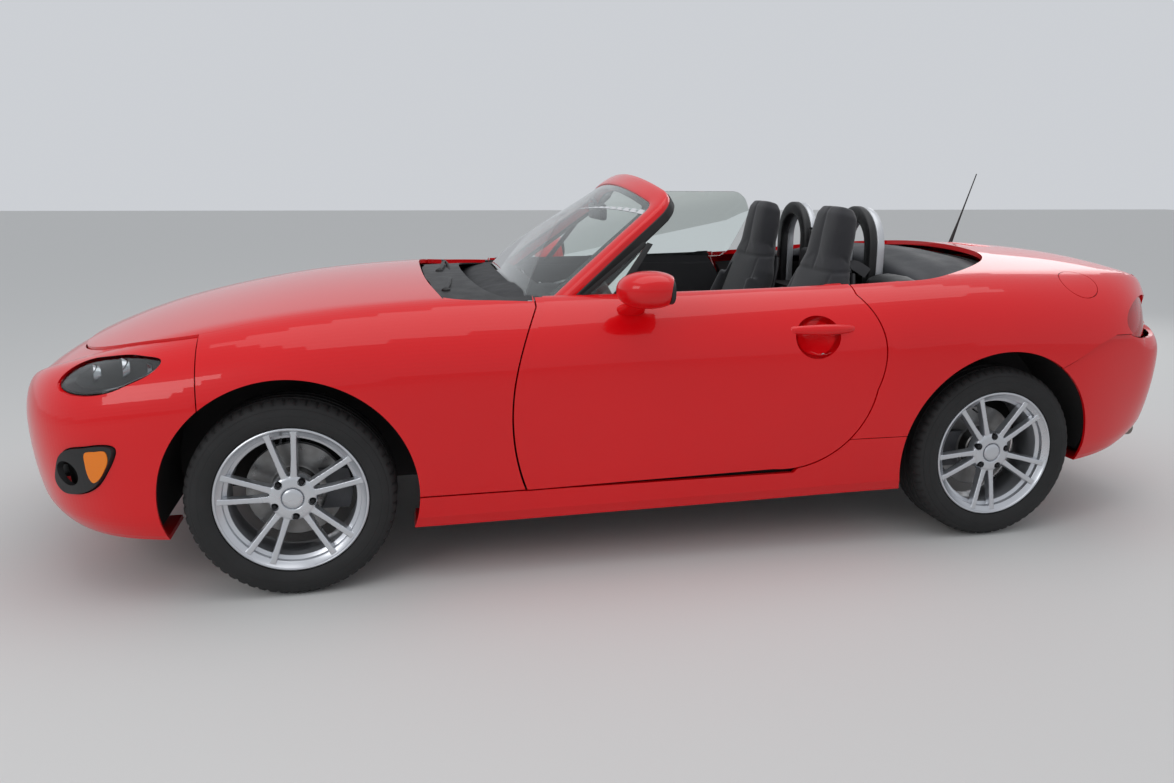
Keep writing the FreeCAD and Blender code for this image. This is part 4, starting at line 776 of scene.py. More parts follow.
def joined(name, *objects):
    bpy.ops.object.select_all(action="DESELECT")
    for obj in objects:
        obj.select_set(True)
    bpy.context.view_layer.objects.active = objects[0]
    bpy.ops.object.join()
    objects[0].name = objects[0].data.name = name
    return objects[0]


def hexahedron(name, near, far):
    """Block between two four-cornered ends."""
    faces = [[0, 3, 2, 1], [4, 5, 6, 7]] + [[i, (i + 1) % 4, 4 + (i + 1) % 4, 4 + i] for i in range(4)]
    made = new_object(name, list(near) + list(far), faces)
    outward(made)
    return made


def cylinder(name, start, end, radius, sides=32, far_radius=None):
    start, end = Vector(start), Vector(end)
    bpy.ops.object.select_all(action="DESELECT")
    bpy.ops.mesh.primitive_cone_add(vertices=sides, radius1=radius,
                                    radius2=radius if far_radius is None else far_radius,
                                    depth=(end - start).length)
    made = bpy.context.object
    made.name = made.data.name = name
    made.data.transform(Matrix.Translation((start + end) / 2) @ (end - start).to_track_quat("Z",
            "Y").to_matrix().to_4x4())
    return made


def placed_copy(obj, name, move=(0, 0, 0), flip=False, turn=0.0):
    """Copy turned about the Y axis, mirrored to the right side if wanted, and moved."""
    twin = obj.copy()
    twin.data = obj.data.copy()
    twin.name = twin.data.name = name
    bpy.context.scene.collection.objects.link(twin)
    twin.data.transform(Matrix.Rotation(turn, 4, "Y"))
    if flip:
        twin.data.transform(Matrix.Scale(-1, 4, (0, 1, 0)))
        twin.data.flip_normals()
    twin.data.transform(Matrix.Translation(move))
    return twin


def spoke_set():
    blocks = [lathe("hub_blank", HUB_PROFILE, 96)]
    for pair in range(5):
        for lean in (-1, 1):
            turn = Matrix.Rotation(math.radians(-72 * pair), 4, "Y")
            ends = []
            for r, along, half_face, half_back, front, back in (
                    (46, 10, 10.5, 14, -70, -38), (120, 24, 8.0, 11, -78, -50), (188, 35.5, 8.6, 12, -86.5, -62),
                    (206, 39, 10.5, 15, -88, -66)):
                ends.append([turn @ Vector(mm(lean * along + a, y, r)) for a, y in (
                    (-half_face, front), (half_face, front), (half_back, back), (-half_back, back))])
            blocks += [hexahedron("spoke_blank", a, b) for a, b in zip(ends, ends[1:])]
    casting = joined("casting", *blocks)
    use(casting, "REMESH", mode="VOXEL", voxel_size=0.0019, adaptivity=0.0)
    use(casting, "SMOOTH", factor=0.6, iterations=7)
    pockets = []
    for i in range(5):
        a = math.radians(90 + 36 + 72 * i)
        at = (0.0572 * math.cos(a), 0.0572 * math.sin(a))
        pockets.append(cylinder("pocket", (at[0], -0.11, at[1]), (at[0], -0.058, at[1]), 0.0125, 40))
    carve(casting, *pockets)
    for pocket in pockets:
        bpy.data.objects.remove(pocket)
    use(casting, "DECIMATE", ratio=0.28)
    only(casting)
    bpy.ops.object.shade_smooth_by_angle(angle=math.radians(50))
    return casting


casting = spoke_set()
rim = soften(lathe("rim", RIM_PROFILE, 192), angle=32)
cap = soften(lathe("cap", CAP_PROFILE, 64), angle=40)
nuts = []
for i in range(5):
    a = math.radians(90 + 36 + 72 * i)
    at = (0.0572 * math.cos(a), 0.0572 * math.sin(a))
    nuts.append(cylinder("nut", (at[0], -0.056, at[1]), (at[0], -0.070, at[1]), 0.0102, 6))
    nuts.append(cylinder("nut", (at[0], -0.070, at[1]), (at[0], -0.079, at[1]), 0.0094, 24, 0.0055))
nut_set = soften(joined("nuts", *nuts), 0.0006, 2)
disc = lathe("disc", DISC_PROFILE, 160)
soften(disc, 0.0006, 2, limit=50)
valve = cylinder("valve", (0.0, -0.074, 0.186), (0.0, -0.1, 0.178), 0.0032, 20)
soften(valve, 0.0008)

alloy = finish("alloy", "D2D4D8", 0.30, metal=0.85, coat=0.5, coat_roughness=0.08, dark="C2C5CA", patch=5.0,
               grain=0.00002, grain_scale=700.0, uneven=0.04)
black_steel = finish("wheel_nuts", "1C1C1E", 0.38, metal=0.6, dark="2A2A2C", patch=60.0, uneven=0.08)
disc_steel = finish("disc_steel", "8E9092", 0.34, metal=1.0, dark="6E6A66", patch=24.0, grain=0.00003,
                    grain_scale=1500.0, uneven=0.1, stretch=(1, 0.02, 1))
rubber = finish("tyre_rubber", "1B1B1C", 0.78, dark="242424", patch=14.0, grain=0.00006, grain_scale=1300.0,
                uneven=0.08)

# Tyres: rubber with a rounded sidewall, fine rings, shoulder blocks and four grooves round the tread.
PITCHES = 60
TYRE_PROFILE = [mm(y, r) for y, r in (
    (-82.6, 203.2), (-82.7, 212), (-82.8, 221.9), (-92.4, 222.6), (-97.6, 230), (-101, 240), (-102.3, 251),
    (-102.2, 256), (-101.2, 257.2), (-101.6, 259), (-100.2, 266), (-98.2, 274), (-97.2, 276.5), (-95.6, 277.5),
    (-95.4, 281), (-92, 287.5), (-88, 292.5), (-83, 296.2), (-77, 298.9), (-72, 300.4), (-62, 301.2), (-57, 301.4),
    (-56, 295), (-50, 295), (-49, 301.6), (-36, 301.8), (-23, 301.9), (-22, 295), (-15, 295), (-14, 302), (0, 302))]


def tyre():
    half_profile = np.array(TYRE_PROFILE)
    profile = np.concatenate([half_profile, (half_profile * [-1, 1])[-2::-1]])
    steps = PITCHES * 4
    turn = turns(steps)
    radius = np.tile(profile[:, 1], (steps, 1))
    across = np.tile(profile[:, 0], (steps, 1))
    in_slot = (np.arange(steps) % 4 == 0)[:, None]
    shoulder = (np.abs(profile[:, 0]) > 0.0585) & (profile[:, 1] > 0.2912)
    blocks = (np.abs(profile[:, 0]) < 0.048) & (np.abs(profile[:, 0]) > 0.024) & (profile[:, 1] > 0.3)
    radius = radius - in_slot * shoulder[None] * 0.005
    shifted = ((np.arange(steps) + 2) % 4 == 0)[:, None]
    radius = radius - shifted * blocks[None] * 0.004
    points = np.stack([np.cos(turn)[:, None] * radius, across, np.sin(turn)[:, None] * radius], 2).reshape(-1, 3)
    count = len(profile)
    faces = [[i * count + j, i * count + (j + 1) % count, ((i + 1) % steps) * count + (j + 1) % count,
              ((i + 1) % steps) * count + j] for i in range(steps) for j in range(count)]
    made = new_object("tyre", points, faces)
    outward(made)
    return soften(made, angle=28)


tyre_blank = tyre()
for tag, x, side in (("fl", FRONT_AXLE, -1), ("fr", FRONT_AXLE, 1), ("rl", REAR_AXLE, -1), ("rr", REAR_AXLE, 1)):
    at = (x, side * TRACK_HALF, AXLE_Z)
    turn = math.radians(90 - PAIR_ANGLE[tag[0]])
    body = "wheel_" + tag
    for source, label, material in ((rim, "rim_", alloy), (casting, "spokes_", alloy), (cap, "hub_cap_", alloy),
                                    (nut_set, "wheel_nuts_", black_steel), (disc, "brake_disc_", disc_steel),
                                    (valve, "valve_", black_steel)):
        piece = placed_copy(source, label + tag, at, side > 0, turn)
        fit(piece, material, body, [body])
    fit(placed_copy(tyre_blank, "tyre_body_" + tag, at, side > 0), rubber, body, ["tyre_" + tag])
for blank in (rim, casting, cap, nut_set, disc, valve, tyre_blank):
    bpy.data.objects.remove(blank)

# Helpers for pieces laid on the body: a place on it from above or from the side, and swept strips.
black_plastic = finish("black_plastic", "161617", 0.52, dark="202021", patch=20.0, grain=0.00005,
                       grain_scale=1800.0,
                       uneven=0.06)
soft_rubber = finish("seal_rubber", "101011", 0.62, dark="191919", patch=30.0, uneven=0.08)
chrome = finish("chrome", "D9DADC", 0.10, metal=1.0, dark="C4C6C9", patch=40.0, uneven=0.03)
gloss_black = finish("gloss_black", "0C0C0D", 0.16, dark="131314", patch=30.0, coat=0.4, uneven=0.03)


def glass_look(name, code, roughness=0.0, clear=1.0, depth_code=None):
    """Clear plastic or glass: transmitting and faintly tinted."""
    material = finish(name, code, roughness, dark=depth_code or code, patch=12.0)
    shader = material.node_tree.nodes["Principled BSDF"]
    shader.inputs["Transmission Weight"].default_value = clear
    shader.inputs["IOR"].default_value = 1.45
    return material


def above(x, y, form=body_form):
    """Point of the body and its normal, straight below a place over it."""
    spot, normal, _, _ = form.tree.ray_cast(Vector((x, y, 2.0)), Vector((0, 0, -1)))
    return spot, (normal if normal.z > 0 else -normal)


def beside(x, z, side=-1, form=body_form):
    spot, normal, _, _ = form.tree.ray_cast(Vector((x, side * 2.0, z)), Vector((0, -side, 0)))
    return spot, (normal if normal.y * side > 0 else -normal)


def swept(name, rails, closed_path=False):
    """Closed body from rings of points, each ring a section; its ends are capped."""
    rings = [[Vector(p) for p in ring] for ring in rails]
    count = len(rings[0])
    points = [p for ring in rings for p in ring]
    faces = []
    for i in range(len(rings) - (0 if closed_path else 1)):
        j = (i + 1) % len(rings)
        faces += [[i * count + k, i * count + (k + 1) % count, j * count + (k + 1) % count, j * count + k]
                  for k in range(count)]
    if not closed_path:
        faces += [list(range(count)), [(len(rings) - 1) * count + k for k in range(count)]]
    made = new_object(name, points, faces)
    outward(made)
    return made


def tube(name, points, radius, sides=14, up=(0, 0, 1), flat=1.0, closed=False, count=None):
    """Round or oval bar along a smooth run of points; the radius may change along it."""
    if count:
        points = sewn(points, count)
    points = [Vector(p) for p in points]
    radii = radius if isinstance(radius, (list, tuple)) else [radius] * len(points)
    if len(radii) != len(points):
        radii = np.interp(np.linspace(0, 1, len(points)), np.linspace(0, 1, len(radii)), radii).tolist()
    rings = []
    for i, p in enumerate(points):
        if closed:
            along = (points[(i + 1) % len(points)] - points[i - 1]).normalized()
        else:
            along = (points[min(i + 1, len(points) - 1)] - points[max(i - 1, 0)]).normalized()
        a = along.cross(Vector(up)).normalized()
        b = a.cross(along)
        rings.append([p + a * (radii[i] * math.cos(t)) + b * (radii[i] * flat * math.sin(t))
                      for t in turns(sides)])
    return soften(swept(name, rings, closed), angle=50)


def slab(name, x0, x1, y0, y1, z0, z1, round_off=0.003, segments=3):
    """Block with rounded edges."""
    points = [(x, y, z) for z in (z0, z1) for x, y in ((x0, y0), (x1, y0), (x1, y1), (x0, y1))]
    made = hexahedron(name, points[:4], points[4:])
    return soften(made, round_off, segments)


def bowl(name, profile, place, axis, sides=48):
    """Turned piece: a closed profile of radius and distance along an axis from a place."""
    made = lathe(name, profile, sides)
    made.data.transform(Vector(axis).to_track_quat("Y", "Z").to_matrix().to_4x4())
    made.data.transform(Matrix.Translation(place))
    clean(made)
    return soften(made, angle=40)


def pushed_plate(name, loop, lift, low, high, hole=None, rings=14):
    """Closed plate between two heights over a bent sheet, inside a loop and round an inner loop."""
    loop = np.array(loop, float)
    middle = loop.mean(0)
    if hole is None:
        loops = [middle + (loop - middle) * t for t in np.linspace(1, 0.02, rings)]
    else:
        loops = [loop + (np.array(hole) - loop) * t for t in np.linspace(0, 1, rings)]
    count = len(loop)
    grid = [[lift(p[0], p[1], high) for p in ring] for ring in loops]
    under = [[lift(p[0], p[1], low) for p in ring] for ring in loops]
    rows = grid + under[::-1]
    points = [p for row in rows for p in row]
    faces = []
    closed = hole is not None
    for i in range(len(rows) if closed else len(rows) - 1):
        j = (i + 1) % len(rows)
        if not closed and i == len(grid) - 1:
            continue
        faces += [[i * count + k, i * count + (k + 1) % count, j * count + (k + 1) % count, j * count + k]
                  for k in range(count)]
    if not closed:
        first = (len(grid) - 1) * count
        faces.append([first + k for k in range(count)])
        faces.append([first + count + k for k in range(count)])
        last = (len(rows) - 1) * count
        faces += [[k, (k + 1) % count, last + (k + 1) % count, last + k] for k in range(count)]
    made = new_object(name, points, faces)
    outward(made)
    return soften(made, angle=30)


# Windscreen: a painted frame with a rounded front face, a rubber seal round its outer edge, bent
# laminated glass and a black printed border.
SCREEN_RAKE = math.radians(31.5)
SCREEN_R = 1.95
SCREEN_ALONG = Vector((math.cos(SCREEN_RAKE), 0, math.sin(SCREEN_RAKE)))
SCREEN_OUT = Vector((-math.sin(SCREEN_RAKE), 0, math.cos(SCREEN_RAKE)))
FRAME_CORNERS = [mm(s, y) for s, y in ((60, 752), (140, 735), (600, 590), (705, 548), (712, 0))]
GLASS_CORNERS = [mm(s, y) for s, y in ((20, 722), (130, 686), (600, 532), (636, 520), (640, 0))]


def on_screen(s, y, h):
    radius = SCREEN_R + h
    return Vector((-0.585, 0, 0.869)) + SCREEN_ALONG * s + Vector((0, y, 0)) + SCREEN_OUT * (
        math.sqrt(radius * radius - y * y) - SCREEN_R)


def screen_half(corners, cuts):
    """Half an outline with rounded corners, from the pillar's foot to the middle of the header."""
    corners = [Vector(c) for c in corners]
    runs, start = [], corners[0]
    for before, corner, after, cut in zip(corners, corners[1:], corners[2:], cuts):
        a = corner + (before - corner).normalized() * cut
        b = corner + (after - corner).normalized() * cut
        runs.append([start.lerp(a, t) for t in np.linspace(0, 1, 24)])
        runs.append([a.lerp(corner, t).lerp(corner.lerp(b, t), t) for t in np.linspace(0, 1, 20)][1:-1])
        start = b
    runs.append([start.lerp(corners[-1], t) for t in np.linspace(0, 1, 40)])
    return [p for run in runs for p in run]


frame_half = screen_half(FRAME_CORNERS, (0.03, 0.05, 0.085))
glass_half = screen_half(GLASS_CORNERS, (0.03, 0.01, 0.05))


def whole_screen(half):
    return [Vector((p.x, -p.y)) for p in half] + [p for p in half[-2::-1]]


def screen_sweep(name, section):
    """Band round the screen; its section is fraction across, offset in mm and height in mm."""
    rings = []
    for outer, inner in zip(whole_screen(frame_half), whole_screen(glass_half)):
        across = inner - outer
        unit = across.normalized()
        ring = []
        for share, offset, height in section:
            p = outer + across * share + unit * (offset / 1000)
            ring.append(on_screen(p.x, p.y, height / 1000))
        rings.append(ring)
    return soften(swept(name, rings), angle=28)


screen_frame = screen_sweep("screen_frame", (
    (0, 2, -40), (0, 0.6, -30), (0, 0, -9), (0, 1, -3), (0, 3.5, 1.8), (0, 9, 4.6), (0.3, 0, 6.2), (0.55, 0, 6.4),
    (0.8, 0, 5.2), (1, -5, 3.4), (1, -1.6, 1.6), (1, -0.4, -1), (1, -0.4, -8), (1, -3, -12), (1, -10, -38)))
fit(screen_frame, red_paint, stands_for=["windscreen_frame"])
seal = screen_sweep("screen_seal", ((0, -0.4, -14), (0, -3.2, -16), (0, -3.6, -24), (0, -3.2, -40), (0, 1, -45),
                                    (0, 12, -45.5), (0, 12, -40.4), (0, 1.6, -40.4), (0, -0.2, -30)))
fit(seal, soft_rubber)
lining = screen_sweep("screen_lining", ((0, 13, -40.4), (0, 13, -44), (0.5, 0, -45), (1, -12, -42),
                                        (1, -10.5, -38.4)))
fit(lining, black_plastic)
windscreen_glass_look = glass_look("windscreen_glass", "F2F7F5")
glass_loop = [(p.x, p.y) for p in whole_screen([Vector((p.x, p.y - 0.0012)) for p in glass_half])]
glass_loop = [(min(s, 0.6385), y) for s, y in glass_loop]
pane = pushed_plate("windscreen_pane", glass_loop, on_screen, -0.007, -0.002)
fit(pane, windscreen_glass_look, stands_for=["windscreen_glass"])
frit_inner = [(0.03 + (s - 0.03) * 0.955 + 0.004, y * 0.955) for s, y in glass_loop]
frit = pushed_plate("windscreen_border", glass_loop, on_screen, -0.0083, -0.0072, frit_inner, 4)
fit(frit, gloss_black)
inner_mirror = slab("inner_mirror", -0.098, -0.072, -0.12, 0.12, 1.070, 1.130, 0.011, 4)
fit(inner_mirror, black_plastic)
mirror_arm = tube("inner_mirror_arm", [(-0.088, 0, 1.11), (-0.094, 0, 1.135), (-0.108, 0, 1.150)], 0.007)
fit(mirror_arm, black_plastic)

# Cowl: a moulded black ribbed cover below the screen, with two wipers parked on it: painted steel
# arms on capped pivots, with soft rubber blades.
cowl_cover = skin("cowl_cover", -0.80, -0.40, 0, 80, 0.006, whole=True)
carve(cowl_cover, plan_cutter("cowl_keep", cowl_outline, 0.6, 1.2, -0.0005), operation="INTERSECT")
cowl_cover.data.transform(Matrix.Translation((0, 0, -0.013)))
soften(cowl_cover, angle=40)
fit(cowl_cover, black_plastic, stands_for=["cowl_panel"])
ribs = []
for y in np.linspace(-0.60, 0.60, 49):
    start = -0.742 + 0.035 * (abs(y) / 0.6) ** 2
    run = [above(x, y)[0] - Vector((0, 0, 0.0125)) for x in np.linspace(start, start + 0.085, 8)]
    ribs.append(tube("rib", run, 0.0024, 8))
fit(joined("cowl_ribs", *ribs), black_plastic)
for i, y in enumerate((-0.470, -0.020)):
    pivot = Vector((-0.690, y, above(-0.690, y)[0].z - 0.013))
    cap_profile = [mm(a, b) for a, b in ((0, 16), (9, 15), (14, 10), (15, -2), (0, -2))]
    fit(bowl("wiper_cap_%d" % i, cap_profile, pivot, (0, 0, 1), 32), black_plastic)
    arm_run = [pivot + Vector(p) for p in ((0, 0.0, 0.012), (0.010, 0.06, 0.016), (0.022, 0.17, 0.022),
                                           (0.036, 0.28, 0.019))]
    fit(tube("wiper_arm_%d" % i, arm_run, [0.008, 0.0075, 0.006, 0.0045], 12, flat=0.55, count=30), black_plastic)
    blade_run = [pivot + Vector(p) for p in ((0.040, 0.02, 0.003), (0.041, 0.15, 0.010), (0.038, 0.28, 0.013),
                                             (0.030, 0.43, 0.008))]
    fit(tube("wiper_blade_%d" % i, blade_run, [0.003, 0.0048, 0.0055, 0.0048, 0.003], 12, flat=1.3, count=40),
        soft_rubber)

# Headlamps: clear lens over a dark bucket, with a projector towards the nose, a bright reflector bowl
# behind it, a small indicator and a black rim.
lamp_clear = glass_look("headlamp_lens", "F7FAFA")
amber_lens = glass_look("amber_lens", "FF8A1E", 0.05, 0.15)
red_lens = glass_look("tail_lens", "DC101C", 0.03, 0.25, "B40A14")
lamp_dark = finish("lamp_housing", "1A1A1C", 0.35, dark="262628", patch=40.0, uneven=0.05)
lamp_silver = finish("lamp_reflector", "C9CBCE", 0.16, metal=1.0, dark="AFB2B6", patch=30.0, uneven=0.04)
lamp_grey = finish("lamp_shell", "C4C7CB", 0.22, dark="AEB1B5", patch=30.0, uneven=0.04)


def lamp_outward(data):
    axis = lamp_axes(data)[2]
    return axis if axis.y < 0 else -axis


def lamp_bucket(name, data, side, depth, shrink, gap=0.005):
    """Bowl behind a lens: its rim follows the body's surface and its floor lies inwards."""
    axis = lamp_outward(data)
    ring = [body_form.tree.ray_cast(p + axis * 0.4, -axis)[0] for p in lamp_ring(data, -0.0035, 72)]
    middle = sum(ring, Vector()) / len(ring)
    rings = []
    for share, down in ((0.03, depth + 0.002), (shrink * 0.8, depth + 0.002), (shrink + 0.02, depth * 0.9 + 0.002),
                        (0.97, 0.02), (1.0, gap + 0.001), (0.985, gap), (0.955, 0.016), (shrink, depth * 0.86),
                        (shrink * 0.78, depth), (0.03, depth)):
        rings.append([middle + (p - middle) * share - axis * down for p in ring])
    made = swept(name, rings)
    if side > 0:
        made.data.transform(Matrix.Scale(-1, 4, (0, 1, 0)))
        made.data.flip_normals()
    return soften(made, angle=40)


def lamp_lens(name, data, side, thick, x0, x1):
    lens = skin(name, x0, x1, 0, ROUND, thick)
    cutter = lamp_cutter("lens_cutter", data, -0.0012)
    carve(lens, cutter, operation="INTERSECT")
    if side > 0:
        lens = other_side_only(lens, name)
    return reflow(lens)


def other_side_only(panel, name):
    """The piece itself moved to the right side."""
    panel.name = name
    panel.data.transform(Matrix.Scale(-1, 4, (0, 1, 0)))
    panel.data.flip_normals()
    return panel


def lamp_spot(data, a, b, down, side=-1):
    """Place inside a lamp: along its length, above its middle and below the body's surface."""
    u, w, _ = lamp_axes(data)
    axis = lamp_outward(data)
    place = Vector(data[0]) + u * a / 1000 + w * b / 1000 + axis * 0.4
    place = body_form.tree.ray_cast(place, -axis)[0] - axis * down / 1000
    return Vector((place.x, -side * place.y, place.z))


for side, tag in ((-1, "left"), (1, "right")):
    lens = lamp_lens("headlamp_lens_" + tag, HEADLAMP, side, 0.0035, -1.9, -1.4)
    fit(lens, lamp_clear, stands_for=["headlamps"])
    bucket = lamp_bucket("headlamp_bucket_" + tag, HEADLAMP, side, 0.058, 0.80)
    fit(bucket, lamp_dark)
    bucket.data.materials.append(lamp_grey)
    along = lamp_axes(HEADLAMP)[0]
    for face in bucket.data.polygons:
        middle = Vector((face.center.x, -abs(face.center.y), face.center.z))
        face.material_index = int((middle - Vector(HEADLAMP[0])).dot(along) > 0.008)
    forward = Vector((-0.92, side * 0.36, 0.06))
    for label, a, radius in (("projector", -52, 30), ("reflector", 34, 33)):
        place = lamp_spot(HEADLAMP, a, -10, 44, side)
        place = Vector((place.x, side * abs(place.y), place.z))
        r = radius
        profile = [mm(i, j) for i, j in ((0, -6), (r * 0.6, -3), (r * 0.9, 6), (r, 17), (r + 2.5, 17.5),
                                         (r + 2.5, 15),
                                          (r * 0.92, -2), (0, -9))]
        fit(bowl("headlamp_%s_bowl_%s" % (label, tag), profile, place, forward), lamp_silver)
        ball = [mm(i, j) for i, j in ((0, 16), (r * 0.3, 15), (r * 0.52, 11), (r * 0.62, 5), (r * 0.62, 1), (0, 0))]
        look = gloss_black if label == "projector" else lamp_clear
        fit(bowl("headlamp_%s_core_%s" % (label, tag), ball, place, forward), look)
    place = lamp_spot(HEADLAMP, 102, -20, 38, side)
    place = Vector((place.x, side * abs(place.y), place.z))
    profile = [mm(i, j) for i, j in ((0, -3), (13, 0), (17, 9), (18.5, 9), (14, -3), (0, -6))]
    fit(bowl("headlamp_indicator_" + tag, profile, place, forward, 32), lamp_silver)

    # Fog openings: black bezel sunk a little, with a round lamp in its front part and an amber side lens.
    bezel = skin("fog_bezel_" + tag, -1.9, -1.5, 40, ROUND, 0.020)
    carve(bezel, lamp_cutter("bezel_cutter", FOG, -0.0015), operation="INTERSECT")
    shallow = skin("fog_sink", -1.9, -1.5, 40, ROUND, 0.004)
    inner = lamp_cutter("bezel_inner", FOG, -0.008)
    carve(shallow, inner, operation="INTERSECT")
    carve(bezel, shallow)
    bpy.data.objects.remove(shallow)
    u, w, axis = lamp_axes(FOG)
    lamp_place = Vector(FOG[0]) + u * -0.005 + w * -0.028
    face = Vector((-0.80, -0.60, 0)).normalized()
    pocket = round_cutter("fog_pocket", lamp_place, face, 0.037, 0.30, 64)
    carve(bezel, pocket)
    amber = skin("fog_amber_" + tag, -1.9, -1.5, 40, ROUND, 0.0075)
    amber_outline = [(62, 40), (92, 46), (121, 46), (125, 26), (112, -6), (90, -36), (70, -48), (58, -24), (57, 10)]
    carve(amber, lamp_cutter("amber_cutter", (FOG[0], FOG[1], amber_outline), 0.0), operation="INTERSECT")
    amber.data.transform(Matrix.Translation(lamp_outward(FOG) * 0.0155))
    pieces = [(bezel, black_plastic, "black_plastic", ["fog_bezels"]), (amber, amber_lens, "lamp_glass", ())]
    hood = [mm(i, j) for i, j in ((0, -42), (30, -42), (37, -30), (37.3, -2), (34.4, -2), (33, -26), (26, -36),
                                  (0, -38))]
    pieces.append((bowl("fog_lamp_" + tag, hood, lamp_place, face), lamp_dark, "black_plastic", ()))
    cover = [mm(i, j) for i, j in ((0, -20), (18, -21), (31, -24), (32.6, -27), (0, -26))]
    pieces.append((bowl("fog_glass_" + tag, cover, lamp_place, face), lamp_clear, "lamp_glass", ()))
    for piece, material, slot, stands_for in pieces:
        if side > 0:
            other_side_only(piece, piece.name)
        fit(piece, material, stands_for=stands_for)

# Tail lamps: a moulded red lens set flush in the quarter, over a dark red bucket with two round
# lamps and a bright ring round each.
tail_dark = finish("tail_housing", "5A0A10", 0.35, dark="40060A", patch=30.0, uneven=0.05)
for side, tag in ((-1, "left"), (1, "right")):
    lens = lamp_lens("tail_lens_" + tag, TAIL_LAMP, side, 0.0035, 1.55, 2.1)
    fit(lens, red_lens, stands_for=["tail_lamps"])
    fit(lamp_bucket("tail_bucket_" + tag, TAIL_LAMP, side, 0.045, 0.84), tail_dark)
    backward = Vector((0.72, side * 0.69, 0.05))
    for label, a, b, r in (("outer", 62, -18, 34), ("inner", -48, -14, 30)):
        place = lamp_spot(TAIL_LAMP, a, b, 34, side)
        place = Vector((place.x, side * abs(place.y), place.z))
        ring_profile = [mm(i, j) for i, j in ((r - 5, 4), (r - 4, 13), (r, 15), (r + 3, 12), (r + 3, 2),
                                              (r - 5, 1))]
        fit(bowl("tail_ring_%s_%s" % (label, tag), ring_profile, place, backward), lamp_silver)
        core_profile = [mm(i, j) for i, j in ((0, 9), (r * 0.4, 8), (r - 8, 3), (r - 8, 0), (0, 0))]
        look = red_lens if label == "outer" else lamp_clear
        fit(bowl("tail_core_%s_%s" % (label, tag), core_profile, place, backward), look)

# High brake lamp: a low moulded pod, painted, bolted on the boot lid, with a red lens across its
# back.
rings = []
for share, rise in ((1.0, -0.002), (1.0, 0.004), (0.97, 0.011), (0.90, 0.0165), (0.78, 0.019), (0.4, 0.020),
                    (0.02, 0.0203)):
    ring = []
    for t in turns(64):
        c, s = math.cos(t), math.sin(t)
        x = 1.520 + 0.058 * share * math.copysign(abs(c) ** 0.55, c)
        y = 0.118 * share * math.copysign(abs(s) ** 0.4, s)
        ring.append(above(x, y)[0] + Vector((0, 0, rise)))
    rings.append(ring)
pod = soften(swept("brake_pod", rings), angle=40)
fit(pod, red_paint, "boot_lid", ["brake_lamp"])
pod_lens = slab("brake_pod_lens", 1.5705, 1.5805, -0.095, 0.095, above(1.575, 0)[0].z + 0.003,
                above(1.575, 0)[0].z + 0.0125, 0.003)
fit(pod_lens, red_lens, "boot_lid")

# Door handles and mirrors: a painted bar over the round cup pressed into the door, with the lock below
# it, and a painted squared-oval mirror head on a flared foot, hollow behind, with a rim and a glass.
MIRROR = (-0.118, -0.900, 0.906)
MIRROR_POWER = 2.2


def mirror_oval(back, half_y, half_z):
    """Squared oval across the mirror's head, a little behind its middle."""
    waves = [(math.cos(t), math.sin(t)) for t in turns(72)]
    return [(MIRROR[0] + back, MIRROR[1] + half_y * math.copysign(abs(c) ** 0.8, c),
             MIRROR[2] + half_z * math.copysign(abs(s) ** 0.8, s)) for c, s in waves]


